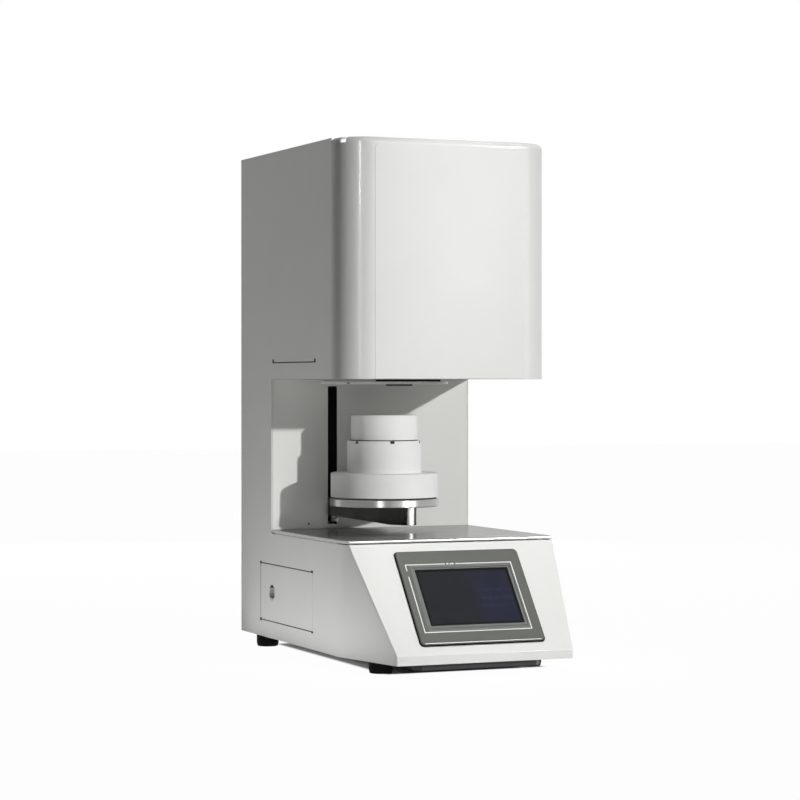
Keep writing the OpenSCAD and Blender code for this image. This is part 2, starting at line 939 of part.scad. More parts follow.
// Thermocouple: level sheath through the right wall of the chamber
tc_z = chamber_z + 120;
tc_d = 8;

module thermocouple_hole() {
    rod_x([chamber_x + bore_d / 2 - 20, chamber_y, tc_z], tc_d + 1, wall_t + 60);
}

module thermocouple() {
    tip = chamber_x + bore_d / 2 - 9;
    out = chamber_x + insulation_d / 2 + shell_t + fit;
    head_d = 24;
    color("ivory") rod_x([tip, chamber_y, tc_z], tc_d, out + 6 - tip);
    color("silver") rod_x([out + fit, chamber_y, tc_z], head_d, 18);
}

// Column and deck

module column_front_panel() {
    low = deck_z + 0.5;
    high = head_z - fit;
    edge_r = slot_w / 2;
    hole_d = 3.5;
    hole_x = slot_x - 42;
    hole_z = deck_top + 8;
    color("gainsboro") difference() {
        box([-inner_w / 2 + fit, column_y, low], [inner_w / 2 - fit, column_y + skin, high]);
        box([slot_x - edge_r, column_y - over, slot_z], [slot_x + edge_r, column_y + skin + over, slot_top]);
        rod_y([hole_x, column_y - over, hole_z], hole_d, skin + 2 * over);
    }
}

module deck_plate() {
    y0 = face_y;
    y1 = column_y - fit;
    color("silver") difference() {
        translate([0, 0, deck_z + deck_line]) linear_extrude(deck_edge) polygon(plan(y0, y1, 0));
        translate([0, 0, deck_z + deck_line - over]) linear_extrude(deck_edge - deck_t + over)
            polygon(plan(y0 + deck_t, y1 - deck_t, deck_t));
    }
}

// Base

module base_front_panel() {
    cut_w = panel_w + over;
    cut_h = panel_h + over;
    outer = [for (i = [1:3]) base_profile(0)[i]];
    inner = [for (i = [3:-1:1]) base_profile(skin)[i]];
    color("whitesmoke") difference() {
        intersection() {
            across(-half_w, half_w) polygon(concat(outer, inner));
            translate([0, 0, base_z - over]) linear_extrude(base_h + 2 * over)
                polygon(plan(front_y, rear_y, 0));
        }
        on_face() translate([-cut_w / 2, bezel_mid - cut_h / 2, -5 * skin]) cube([cut_w, cut_h, 10 * skin]);
    }
}

module base_floor() {
    hole = 6.6;
    color("silver") difference() {
        translate([0, 0, base_z + tiny]) linear_extrude(skin)
            polygon(plan(front_y + skin + fit, rear_cover_y - fit, skin + fit));
        foot_places() cylinder(d = hole, h = base_z + 3 * skin);
    }
}

module base_tray() {
    w = tray_w / 2;
    y0 = front_y + 23;
    y1 = rear_cover_y - 30;
    cut = 10;
    color("dimgray") difference() {
        tray_block(w, y0, y1, cut, base_z - tray_h, tray_h);
        tray_block(w - skin, y0 + skin, y1 - skin, cut, base_z - tray_h + skin, tray_h);
        for (i = [0:9], x = [-50, 50]) {
            translate([x, y0 + 80 + i * 14, base_z - tray_h - over])
                rounded_plate(70, 5, 2.4, skin + 2 * over);
        }
    }
}

module tray_block(w, y0, y1, cut, z, h) {
    translate([0, 0, z]) linear_extrude(h) polygon([
        [-w + cut, y0], [w - cut, y0], [w, y0 + cut], [w, y1], [-w, y1], [-w, y0 + cut]]);
}

module foot_places() {
    for (sx = [-1, 1]) {
        translate([sx * front_foot_x, front_y + front_foot_run, 0]) children();
        translate([sx * rear_foot_x, rear_y - rear_foot_run, 0]) children();
    }
}

// Rubber foot with its screw pocket; the screw's shank rises through the floor
module rubber_feet() {
    color("black") foot_places() union() {
        difference() {
            cylinder(d = foot_d, h = foot_h);
            translate([0, 0, -over]) cylinder(d = 14, h = 5 + over);
        }
        cylinder(d = 6, h = foot_h + skin + 5);
        translate([0, 0, foot_h + skin + fit]) cylinder(d = 11, h = 4, $fn = 6);
    }
}

// Welded frame: column posts, deck rails, head rails and cross bars
module chassis_frame() {
    z0 = base_z + skin + fit;
    z1 = top_cover_z - skin - fit;
    rail_z = deck_z - bar;
    post_y = [door_back + post_gap, rear_cover_y - fit - bar];
    front_rail_y = fold_y + bar;
    deck_under = deck_top - deck_t - fit;
    color("darkgray") difference() {
        chassis_bars(z0, z1, rail_z, post_y, front_rail_y, deck_under);
        top_screw_places() cylinder(d = screw_hole, h = 2 * bar, center = true);
        rear_screw_places() rotate([90, 0, 0]) cylinder(d = screw_hole, h = 2 * bar, center = true);
    }
}

module chassis_bars(z0, z1, rail_z, post_y, front_rail_y, deck_under) {
    union() {
        for (sx = [-1, 1]) {
            for (y = post_y) {
                box([sx * bar_x - bar / 2, y, z0], [sx * bar_x + bar / 2, y + bar, z1]);
            }
            box([sx * bar_x - bar / 2, front_rail_y, rail_z],
                [sx * bar_x + bar / 2, post_y[1] + bar, deck_z]);
            box([sx * bar_x - bar / 2, front_rail_y, rail_z],
                [sx * bar_x + bar / 2, column_y - bar, deck_under]);
            box([sx * bar_x - bar / 2, front_rail_y, z0],
                [sx * bar_x + bar / 2, front_rail_y + bar, deck_z]);
            box([sx * bar_x - bar / 2, cover_seam_y + bar, head_z + skin + fit],
                [sx * bar_x + bar / 2, post_y[1] + bar, head_z + skin + fit + bar]);
            box([sx * bar_x - bar / 2, cover_seam_y + bar, z1 - bar],
                [sx * bar_x + bar / 2, post_y[1] + bar, z1]);
            box([sx * bar_x - bar / 2, cover_seam_y + bar, head_z + skin + fit],
                [sx * bar_x + bar / 2, cover_seam_y + 2 * bar, z1]);
        }
        box([-bar_x, front_rail_y, rail_z], [bar_x, front_rail_y + bar, deck_under]);
        for (z = [plate_z + 2 * bar, plate_top - 3 * bar]) {
            box([-bar_x, plate_back, z], [bar_x, plate_back + bar, z + bar]);
            for (sx = [-1, 1]) {
                box([sx * bar_x - bar / 2, min(post_y[0], plate_back), z],
                    [sx * bar_x + bar / 2, post_y[1] + bar, z + bar]);
            }
        }
    }
}

// Touch panel

module touch_bezel() {
    step = 1;
    color("gray") on_face() translate([0, bezel_mid, 0]) difference() {
        translate([0, 0, tiny]) rounded_plate(bezel_w, bezel_h, bezel_r, bezel_t - tiny);
        translate([-screen_w / 2, -screen_h / 2, -over]) cube([screen_w, screen_h, bezel_t + 2 * over]);
        translate([0, 0, bezel_t - step])
            rounded_plate(screen_w + 10, screen_h + 10, step, step + over);
    }
}

module display_glass() {
    color("black") on_face() translate([0, bezel_mid, 0])
        translate([-screen_w / 2 + fit / 2, -screen_h / 2 + fit / 2, fit])
            cube([screen_w - fit, screen_h - fit, bezel_t / 2]);
}

module touch_panel_housing() {
    color("dimgray") on_face() translate([-panel_w / 2, bezel_mid - panel_h / 2, -panel_depth])
        cube([panel_w, panel_h, panel_depth]);
}

module touch_panel_clamps() {
    reach = 9;
    w = 12;
    t = 6.7;
    apart = 40;
    x = panel_w / 2;
    color("silver") on_face() for (sx = [-1, 1], y = [bezel_mid - apart, bezel_mid + apart]) {
        translate([sx > 0 ? x : -x - reach, y - w / 2, -skin - fit - t]) cube([reach, w, t]);
    }
}

// Platform, plug and crucible

module platform_disc() {
    color("silver") at_chamber(disc_z) cylinder(d = disc_d, h = disc_t);
}

module plug_felt() {
    color("black") at_chamber(disc_z + disc_t) cylinder(d = plug_d - 6, h = felt_t);
}

module insulating_plug() {
    color("white") at_chamber(plug_z) cylinder(d = plug_d, h = plug_h);
}

notch_w = 7;
notch_h = 4;

module crucible() {
    inner = crucible_d - 2 * crucible_wall;
    floor_t = crucible_wall;
    color("white") at_chamber(crucible_z) difference() {
        cylinder(d = crucible_d, h = crucible_h);
        translate([0, 0, floor_t]) cylinder(d = inner, h = crucible_h);
        for (i = [0:5]) {
            rotate([0, 0, 20 + 60 * i]) translate([0, -notch_w / 2, crucible_h - notch_h])
                cube([crucible_d, notch_w, notch_h + over]);
        }
    }
}

module crucible_cover() {
    inner = cover_d - 2 * crucible_wall;
    spigot_d = crucible_d - 2 * crucible_wall - 2;
    color("white") at_chamber(cover_z) difference() {
        union() {
            translate([0, 0, fit / 2]) cylinder(d = cover_d, h = cover_h - fit / 2);
            translate([0, 0, -cover_spigot]) cylinder(d = spigot_d, h = cover_spigot + over);
        }
        translate([0, 0, -cover_spigot - over])
            cylinder(d = inner, h = cover_h - crucible_wall + cover_spigot + over);
    }
}

// Lift

arm_dx = chamber_x - slot_x;
arm_dy = chamber_y - arm_y;
arm_a = atan2(arm_dy, arm_dx);
nose_over = 47;
nose_run = sqrt(arm_dx * arm_dx + arm_dy * arm_dy) + nose_over;
arm_w = 24;
arm_rear_t = 18;

module arm_plan() {
    translate([0, -arm_w / 2]) square([nose_run, arm_w]);
    translate([nose_run, 0]) circle(d = nose_d);
    circle(d = arm_w);
}

// Diagonal arm under the platform, deeper at its rounded nose, with a neck through the slot
module lift_arm() {
    far = nose_run + nose_d;
    color("dimgray") union() {
        translate([slot_x, arm_y, disc_z]) rotate([0, 0, arm_a]) intersection() {
            translate([0, 0, -nose_t]) linear_extrude(nose_t) arm_plan();
            rotate([90, 0, 0]) translate([0, 0, -arm_w * 2]) linear_extrude(arm_w * 4) polygon([
                [-far, 0], [far, 0], [far, -nose_t],
                [nose_run - nose_d, -nose_t], [0, -arm_rear_t], [-far, -arm_rear_t]]);
        }
        box([slot_x - neck_w / 2, arm_y, neck_z], [slot_x + neck_w / 2, carriage_y - tiny, neck_top]);
    }
}

module lift_carriage() {
    w = 36;
    wing_x = slot_x + neck_w / 2 + fit;
    wing_t = 8;
    wing_side = 15;
    wing_fore = 4;
    slide = 0.15;
    rail_y = plate_y - rail_t;
    color("silver") difference() {
        union() {
            box([slot_x - w / 2, carriage_y, carriage_z],
                [slot_x + w / 2, carriage_y + carriage_t, carriage_z + carriage_h]);
            box([wing_x, carriage_y - wing_fore, nut_z],
                [screw_x + wing_side, plate_y - 5 * fit, nut_z + wing_t]);
        }
        box([slot_x - rail_w / 2 - slide, rail_y - slide, carriage_z - over],
            [slot_x + rail_w / 2 + slide, plate_y, carriage_z + carriage_h + over]);
        translate([screw_x, screw_y, carriage_z]) cylinder(d = nut_d + 2 * running_fit, h = carriage_h);
    }
}

module guide_rail() {
    z0 = carriage_z - slot_over;
    z1 = carriage_z + carriage_h + lift_travel + slot_over;
    hole = 4.5;
    pitch = 40;
    end = 15;
    color("silver") difference() {
        box([slot_x - rail_w / 2, plate_y - rail_t, z0], [slot_x + rail_w / 2, plate_y - tiny, z1]);
        for (z = [z0 + end:pitch:z1 - end]) {
            rod_y([slot_x, plate_y - rail_t - over, z], hole, rail_t + 2 * over);
        }
    }
}

module lead_screw() {
    z0 = coupling_z + coupling_h / 2;
    color("silver") translate([screw_x, screw_y, z0]) cylinder(d = screw_d, h = screw_top - z0);
}

module lead_nut() {
    flange_d = nut_d + 6;
    flange_t = 4;
    flange_z = 8 + running_fit;
    color("goldenrod") translate([screw_x, screw_y, nut_z]) difference() {
        union() {
            cylinder(d = nut_d, h = nut_h);
            translate([0, 0, flange_z]) cylinder(d = flange_d, h = flange_t);
        }
        translate([0, 0, -over]) cylinder(d = screw_d + 2 * running_fit, h = nut_h + 2 * over);
    }
}

module screw_bearings() {
    fore = 11;
    color("gray") for (z = [bearing_z, screw_top - bearing_t]) {
        difference() {
            box([screw_x - bearing_w / 2, screw_y - fore, z],
                [screw_x + bearing_w / 2, plate_y - tiny, z + bearing_t]);
            translate([screw_x, screw_y, z - over])
                cylinder(d = screw_d + 2 * running_fit, h = bearing_t + 2 * over);
        }
    }
}

module shaft_coupling() {
    web = 2;
    groove_t = 1.2;
    groove_d = 15;
    color("silver") translate([screw_x, screw_y, coupling_z]) difference() {
        cylinder(d = coupling_d, h = coupling_h);
        translate([0, 0, coupling_h / 2]) cylinder(d = screw_d + 2 * tiny, h = coupling_h);
        translate([0, 0, -over]) cylinder(d = shaft_d + 2 * tiny, h = coupling_h / 2 + over - web);
        for (z = [8, 20]) {
            translate([0, 0, z]) tube(coupling_d + 2, groove_d, groove_t);
        }
    }
}

module motor_shaft() {
    depth = 20;
    z0 = motor_z + motor_h - depth;
    z1 = coupling_z + coupling_h / 2 - 3;
    color("silver") translate([screw_x, screw_y, z0]) cylinder(d = shaft_d, h = z1 - z0);
}

module lift_motor() {
    body_r = motor_w / 2;
    depth = 21;
    color("black") translate([screw_x, screw_y, motor_z + tiny]) difference() {
        union() {
            translate([-body_r, -body_r, 0]) cube([motor_w, motor_w, motor_h]);
            cylinder(d = 38, h = motor_h + 2);
        }
        translate([0, 0, motor_h - depth]) cylinder(d = shaft_d + 2 * running_fit, h = depth + 2 + over);
    }
}

// Upright plate that carries the rail and the screw bearings
module lift_back_plate() {
    x0 = slot_x - plate_side;
    x1 = screw_x + plate_side;
    color("silver") box([x0, plate_y, plate_z], [x1, plate_back - tiny, plate_top]);
}

module limit_switches() {
    w = 20;
    d = 10;
    t = 9;
    drop = 12;
    x = slot_x - plate_side + over;
    color("black") for (z = [carriage_z - drop, carriage_z + carriage_h + lift_travel - w]) {
        box([x, plate_y - d, z], [x + t, plate_y - tiny, z + w]);
    }
}

// Electrics in the base and column

floor_top = base_z + skin + tiny;
electrics_run = 30;
electrics_gap = 10;
board_side = 48;
board_l = 90;
board_w = 120;
board_t = 1.6;
board_rise = 10;
board_x = -half_w + board_side;
board_y = fold_y + electrics_run;
supply_l = 129;
supply_w = 97;
supply_h = 38;
supply_x = board_x + board_l + electrics_gap;
controller_l = 70;
controller_side = 100;
controller_run = 18;
controller_x = -half_w + controller_side;
controller_y = board_y + board_w + controller_run;
controller_plate = 8;
controller_h = 40;
fin_t = 2;
relay_in = 8;
relay_h = 26;
core_l = 120;
core_w = 84;
core_h = 100;
core_leg = 18;
core_yoke = 22;
core_gap = 8;
core_run = 39;
coil_out = 14;
core_x = controller_x + controller_l + core_gap + core_l / 2;
core_y = board_y + supply_w + core_run + core_w / 2;

// Iron core with two windows and the coil round its middle leg
module transformer() {
    window_w = (core_l - 4 * core_leg) / 2;
    window_x = core_leg + window_w / 2;
    low = floor_top + core_yoke;
    high = floor_top + core_h - core_yoke;
    coil_x = core_leg + window_w - fit;
    color("dimgray") difference() {
        box([core_x - core_l / 2, core_y - core_w / 2, floor_top],
            [core_x + core_l / 2, core_y + core_w / 2, floor_top + core_h]);
        for (sx = [-1, 1]) {
            box([core_x + sx * window_x - window_w / 2, core_y - core_w / 2 - over, low],
                [core_x + sx * window_x + window_w / 2, core_y + core_w / 2 + over, high]);
        }
    }
    color("peru") difference() {
        box([core_x - coil_x, core_y - core_w / 2 - coil_out, low + fit],
            [core_x + coil_x, core_y + core_w / 2 + coil_out, high - fit]);
        box([core_x - core_leg, core_y - core_w / 2 - fit, low],
            [core_x + core_leg, core_y + core_w / 2 + fit, high]);
    }
}

module power_controller() {
    fins = 9;
    step = (controller_l - fin_t) / (fins - 1);
    top = floor_top + controller_h;
    color("silver") box([controller_x, controller_y, floor_top],
        [controller_x + controller_l, controller_y + controller_l, floor_top + controller_plate]);
    color("silver") for (i = [0:fins - 1]) {
        x = controller_x + i * step;
        box([x, controller_y, floor_top + controller_plate - tiny],
            [x + fin_t, controller_y + controller_l, top]);
    }
    color("black") box([controller_x + relay_in, controller_y + relay_in, top - tiny],
        [controller_x + controller_l - relay_in, controller_y + controller_l - relay_in, top + relay_h]);
}

module power_supply() {
    color("silver") translate([supply_x, board_y, floor_top]) cube([supply_l, supply_w, supply_h]);
}

module control_board() {
    z = base_z + skin + board_rise;
    post_in = 4;
    post_d = 5;
    chip = 18;
    chip_h = 6;
    chip_in = 12;
    chip_step = 27;
    color("darkgreen") translate([board_x, board_y, z]) cube([board_l, board_w, board_t]);
    color("silver") for (x = [post_in, board_l - post_in], y = [post_in, board_w - post_in]) {
        translate([board_x + x, board_y + y, floor_top]) cylinder(d = post_d, h = board_rise);
    }
    color("black") for (i = [0:3]) {
        translate([board_x + chip_in, board_y + chip_in + i * chip_step, z + board_t - tiny])
            cube([chip, chip, chip_h]);
    }
}

terminal_n = 6;
terminal_pitch = 14;
terminal_side = 108;
terminal_w = 24;
terminal_h = 20;
terminal_rise = 30;

module terminal_block() {
    wall = 3;
    floor_h = 6;
    deep = 12;
    low = [half_w - terminal_side, rear_cover_y - terminal_w, head_z + terminal_rise];
    color("ivory") difference() {
        translate(low) cube([terminal_n * terminal_pitch, terminal_w - tiny, terminal_h]);
        for (k = [0:terminal_n - 1]) {
            translate(low + [k * terminal_pitch + wall, -over, floor_h])
                cube([terminal_pitch - 2 * wall, deep + over, terminal_h]);
        }
    }
}

// Breaker behind the side door
breaker_y = door_front + door_w / 2;
breaker_z = (door_low + door_top) / 2;
lever_in = 26;
lever_x = -half_w + skin + lever_in;
breaker_w = 36;
breaker_h = 80;
breaker_depth = 58;
breaker_nose = 8;
nose_h = 44;
well_w = 18;
well_h = 28;
well_d = 10;
lever_axle = 3;

module breaker_body() {
    bracket_in = 14;
    bracket_t = 30;
    x0 = lever_x - breaker_nose;
    y0 = breaker_y - breaker_w / 2;
    y1 = breaker_y + breaker_w / 2;
    color("lightgray") difference() {
        union() {
            box([lever_x, y0, breaker_z - breaker_h / 2],
                [lever_x + breaker_depth, y1, breaker_z + breaker_h / 2]);
            box([x0, y0, breaker_z - nose_h / 2], [lever_x + tiny, y1, breaker_z + nose_h / 2]);
            box([lever_x + bracket_in, y0, floor_top], [lever_x + bracket_in + bracket_t, y1, breaker_z]);
        }
        box([x0 - over, breaker_y - well_w / 2, breaker_z - well_h / 2],
            [lever_x + well_d, breaker_y + well_w / 2, breaker_z + well_h / 2]);
    }
    color("lightgray") rod_y([lever_x, y0 + over, breaker_z], lever_axle, breaker_w - 2 * over);
}

// Lever, pointing down in its off place at rest
module breaker_lever() {
    drum_d = 11;
    drum_h = well_w - 4 * fit;
    grip = 14;
    grip_t = 6;
    throw_a = 28;
    color("black") difference() {
        union() {
            rod_y([lever_x, breaker_y - drum_h / 2, breaker_z], drum_d, drum_h);
            translate([lever_x, breaker_y, breaker_z]) rotate([0, -throw_a, 0])
                translate([-grip, -grip / 2, -grip_t / 2]) cube([grip, grip, grip_t]);
        }
        rod_y([lever_x, breaker_y - drum_h, breaker_z], lever_axle + 2 * running_fit, 2 * drum_h);
    }
}

left_side_panel();
right_side_panel();
head_front_cover();
top_cover();
rear_cover();
head_floor();
column_front_panel();
deck_plate();
base_front_panel();
base_floor();
base_tray();
rubber_feet();
chassis_frame();
access_door();
door_hinge_pins();
door_pull();
touch_bezel();
display_glass();
touch_panel_housing();
touch_panel_clamps();
chamber_shell();
insulation_wall();
insulation_roof();
mouth_ring();
heating_elements();
element_holders();
element_straps();
thermocouple();
platform_disc();
plug_felt();
insulating_plug();
crucible();
crucible_cover();
lift_arm();
lift_carriage();
guide_rail();
lead_screw();
lead_nut();
screw_bearings();
shaft_coupling();
motor_shaft();
lift_motor();
lift_back_plate();
limit_switches();
transformer();
power_controller();
power_supply();
control_board();
terminal_block();
fan_frame();
fan_rotor();
fan_guard();
power_inlet();
switch_body();
switch_rocker();
breaker_body();
breaker_lever();
rear_cover_screws();
top_cover_screws();
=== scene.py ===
"""Looks of a bottom-loading dental lab furnace, built round its CAD frame. Metres, +Z up, front at -Y."""

import json
import math

import bpy
from mathutils import Matrix, Vector


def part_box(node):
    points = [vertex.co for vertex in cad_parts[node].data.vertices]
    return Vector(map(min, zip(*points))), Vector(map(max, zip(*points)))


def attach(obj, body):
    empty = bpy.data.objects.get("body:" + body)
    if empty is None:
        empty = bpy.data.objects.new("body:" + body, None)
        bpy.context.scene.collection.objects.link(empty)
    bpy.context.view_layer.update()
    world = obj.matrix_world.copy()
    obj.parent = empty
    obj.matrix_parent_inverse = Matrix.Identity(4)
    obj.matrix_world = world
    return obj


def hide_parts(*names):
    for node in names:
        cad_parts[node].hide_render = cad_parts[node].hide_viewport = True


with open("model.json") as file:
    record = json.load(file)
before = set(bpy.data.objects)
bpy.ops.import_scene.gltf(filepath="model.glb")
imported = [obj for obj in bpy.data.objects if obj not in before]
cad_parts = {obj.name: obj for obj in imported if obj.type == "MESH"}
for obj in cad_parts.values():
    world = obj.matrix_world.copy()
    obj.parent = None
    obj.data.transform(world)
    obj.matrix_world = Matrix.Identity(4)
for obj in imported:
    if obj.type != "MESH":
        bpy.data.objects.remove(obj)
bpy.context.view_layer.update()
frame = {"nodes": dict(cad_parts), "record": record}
NODES = frame["nodes"]
MM = 0.001

# Sizes read from the frame
DECK_LOW, DECK_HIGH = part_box("deck_plate")
COVER_LOW, COVER_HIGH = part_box("head_front_cover")
DISC_LOW, DISC_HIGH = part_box("platform_disc")
FELT_LOW, FELT_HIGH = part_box("plug_felt")
PLUG_LOW, PLUG_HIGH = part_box("insulating_plug")
LID_LOW, LID_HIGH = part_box("crucible_cover")
ARM_LOW, ARM_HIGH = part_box("lift_arm")
CRUCIBLE_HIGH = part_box("crucible")[1]
BASE_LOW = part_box("base_front_panel")[0]
AXIS = (DISC_LOW + DISC_HIGH) / 2
HALF_W = COVER_HIGH.x
FRONT_Y = BASE_LOW.y

# Sizes of the real furnace that the frame's boxes don't give
SHEET = 2.0 * MM
NOSE_R = 14.0 * MM
# Turn of the side of the arm's rounded end where its highlight is painted
NOSE_HIGHLIGHT_TURN = math.radians(23)
LIP_HIGH = 36.0 * MM
LIP_HALF = 145.5 * MM
FACE_RUN = 126.0 * MM
DECK_SEAM = 1.5 * MM
FOLD_Y = -148.0 * MM
CORNER_R = 52.0 * MM
TOP_R = 9.0 * MM
TOP_RIM = 6.0 * MM
BEZEL = (205.0 * MM, 168.0 * MM)
BEZEL_T = 4.0 * MM
BEZEL_DROP = 18.0 * MM
SCREEN = (154.0 * MM, 100.0 * MM)
LINE_LEFT = -91.5 * MM
LINE_RIGHT = 86.0 * MM
LINE_LOW = 38.0 * MM
LINE_HIGH = 160.6 * MM
LINE_WIDTH = 1.5 * MM

FACE_RISE = DECK_LOW.z - DECK_SEAM - LIP_HIGH
FACE_ANGLE = math.atan2(FACE_RISE, FACE_RUN)
FACE_LENGTH = math.hypot(FACE_RISE, FACE_RUN)
BEZEL_MID = FACE_LENGTH - BEZEL_DROP - BEZEL[1] / 2


# Helpers for node trees

MATERIALS = {}


class Nodes:
    """Adds nodes and links to a node tree."""

    def __init__(self, tree):
        self.tree = tree

    def node(self, kind, **settings):
        made = self.tree.nodes.new(kind)
        for key, value in settings.items():
            setattr(made, key, value)
        return made

    def link(self, source, target):
        self.tree.links.new(source, target)

    def math(self, operation, *values):
        """Result of a sum on values, each a number or a socket."""
        made = self.node("ShaderNodeMath", operation=operation)
        for slot, value in enumerate(values):
            if isinstance(value, (int, float)):
                made.inputs[slot].default_value = value
            else:
                self.link(value, made.inputs[slot])
        return made.outputs[0]

    def spread(self, value, low, high, to_low=0.0, to_high=1.0, smooth=False):
        """Value with the range low to high moved onto the range to_low to to_high, and clamped there."""
        made = self.node("ShaderNodeMapRange", clamp=True)
        if smooth:
            made.interpolation_type = "SMOOTHSTEP"
        self.link(value, made.inputs["Value"])
        for key, number in (("From Min", low), ("From Max", high), ("To Min", to_low), ("To Max", to_high)):
            made.inputs[key].default_value = number
        return made.outputs["Result"]

    def separate(self, place):
        """The X, Y and Z of a place."""
        made = self.node("ShaderNodeSeparateXYZ")
        self.link(place, made.inputs[0])
        return made.outputs

    def distance(self, dx, dy):
        squares = self.math("ADD", self.math("MULTIPLY", dx, dx), self.math("MULTIPLY", dy, dy))
        return self.math("SQRT", squares)

    def seen(self):
        """1 on rays of the camera, also through reflections and glass, and 0 where light is gathered."""
        path = self.node("ShaderNodeLightPath").outputs
        plain = self.math("MAXIMUM", path["Is Camera Ray"], path["Is Glossy Ray"])
        return self.math("MAXIMUM", plain, path["Is Transmission Ray"])


class Surface(Nodes):
    """A principled material kept in MATERIALS. Its texture coordinates are the object's own, in metres."""

    def __init__(self, name, colour, roughness, metallic=0.0, **inputs):
        material = bpy.data.materials.new(name)
        material.use_nodes = True
        super().__init__(material.node_tree)
        self.shader = self.tree.nodes["Principled BSDF"]
        self.shader.inputs["Base Color"].default_value = (*colour, 1)
        self.shader.inputs["Roughness"].default_value = roughness
        self.shader.inputs["Metallic"].default_value = metallic
        for key, value in inputs.items():
            self.shader.inputs[key.replace("_", " ").title().replace("Ior", "IOR")].default_value = value
        self.colour = colour
        self.place = self.node("ShaderNodeTexCoord").outputs["Object"]
        self.bumped = None
        MATERIALS[name] = material

    def noise(self, size, detail=3.0, stretch=(1, 1, 1), distortion=0.0):
        """Noise whose features are about size metres across."""
        mapping = self.node("ShaderNodeMapping")
        mapping.inputs["Scale"].default_value = [1 / s for s in stretch]
        self.link(self.place, mapping.inputs["Vector"])
        made = self.node("ShaderNodeTexNoise")
        made.inputs["Scale"].default_value = 1 / size
        made.inputs["Detail"].default_value = detail
        made.inputs["Roughness"].default_value = 0.55
        made.inputs["Distortion"].default_value = distortion
        self.link(mapping.outputs["Vector"], made.inputs["Vector"])
        return made.outputs["Fac"]

    def mix(self, factor, a, b):
        """Colour between a and b, each a colour or a socket."""
        made = self.node("ShaderNodeMix", data_type="RGBA")
        self.link(factor, made.inputs[0])
        for slot, value in ((6, a), (7, b)):
            if isinstance(value, tuple):
                made.inputs[slot].default_value = (*value, 1)
            else:
                self.link(value, made.inputs[slot])
        return made.outputs[2]

    def parts(self):
        """The X, Y and Z of the place on the object."""
        return self.separate(self.place)

    def paint(self, socket):
        self.link(socket, self.shader.inputs["Base Color"])

    def mottle(self, noise, amount, low=0.3, high=0.7):
        """Lightens and darkens the colour by amount, where the noise is high and low."""
        mixed = self.mix(self.spread(noise, low, high), shaded(self.colour, 1 - amount),
                         shaded(self.colour, 1 + amount))
        self.paint(mixed)
        return mixed

    def vary_roughness(self, noise, low, high, noise_low=0.3, noise_high=0.7):
        self.link(self.spread(noise, noise_low, noise_high, low, high), self.shader.inputs["Roughness"])

    def brush(self, amount, axis="Z"):
        """Spreads reflections along an axis, as fine lines across it do."""
        along = self.node("ShaderNodeCombineXYZ")
        along.inputs[axis].default_value = 1.0
        self.link(along.outputs[0], self.shader.inputs["Tangent"])
        self.shader.inputs["Anisotropic"].default_value = amount

    def bump(self, height, distance, strength=1.0):
        """Adds relief of the given depth in metres, on top of any relief added before."""
        made = self.node("ShaderNodeBump")
        made.inputs["Strength"].default_value = strength
        made.inputs["Distance"].default_value = distance
        self.link(height, made.inputs["Height"])
        if self.bumped:
            self.link(self.bumped, made.inputs["Normal"])
        self.bumped = made.outputs["Normal"]
        self.link(self.bumped, self.shader.inputs["Normal"])


def shaded(colour, factor):
    return tuple(min(1, c * factor) for c in colour)


# Materials

def powder_coat(name, colour):
    """Smooth sprayed enamel: faint orange peel, a little dust in the gloss."""
    s = Surface(name, colour, 0.285, coat_weight=0.15, coat_roughness=0.04, specular_ior_level=0.2)
    s.mottle(s.noise(90 * MM, 4), 0.012)
    s.vary_roughness(s.noise(30 * MM, 4), 0.29, 0.32)
    s.bump(s.noise(2.2 * MM, 2), 0.004 * MM, 0.35)


def rolled_metal(name, colour, roughness, run=(1, 30, 1), relief=0.6, contrast=0.10, edge=1.0, smear=0.0,
                 axis="Z"):
    """Metal with fine lines along run; edge darkens its grazing shine, smear spreads it along an axis."""
    s = Surface(name, colour, roughness, 1.0, specular_tint=(edge, edge, edge, 1))
    s.brush(smear, axis)
    lines = s.noise(0.6 * MM, 4, run)
    cloud = s.noise(35 * MM, 3)
    s.mottle(lines, contrast)
    s.vary_roughness(s.math("MULTIPLY_ADD", cloud, 0.6, s.math("MULTIPLY", lines, 0.4)),
                     roughness - 0.06, roughness + 0.06)
    s.bump(lines, 0.004 * MM, relief)


def galvanised(name, colour):
    """Zinc-coated sheet with its crystal pattern."""
    s = Surface(name, colour, 0.42, 1.0)
    cells = s.node("ShaderNodeTexVoronoi")
    cells.inputs["Scale"].default_value = 1 / (14 * MM)
    s.link(s.place, cells.inputs["Vector"])
    grey = s.node("ShaderNodeRGBToBW")
    s.link(cells.outputs["Color"], grey.inputs[0])
    s.mottle(grey.outputs[0], 0.10, 0.2, 0.8)
    s.vary_roughness(grey.outputs[0], 0.34, 0.5, 0.2, 0.8)
    s.bump(s.noise(1.5 * MM, 2), 0.01 * MM, 0.4)


def moulded(name, colour, roughness, grain=0.7 * MM, depth=0.03 * MM, mottling=0.05, gloss=0.5):
    """Moulded plastic with a fine spark-eroded grain."""
    s = Surface(name, colour, roughness, specular_ior_level=gloss)
    fine = s.noise(grain, 3)
    s.mottle(s.noise(18 * MM, 3), mottling)
    s.vary_roughness(fine, roughness - 0.06, roughness + 0.06)
    s.bump(fine, depth, 0.7)


def rubber(name, colour):
    """Dusty black rubber."""
    s = Surface(name, colour, 0.72, specular_ior_level=0.12)
    dust = s.noise(9 * MM, 5)
    s.mottle(dust, 0.35)
    s.vary_roughness(dust, 0.62, 0.82)
    s.bump(s.noise(0.4 * MM, 3), 0.04 * MM, 0.6)


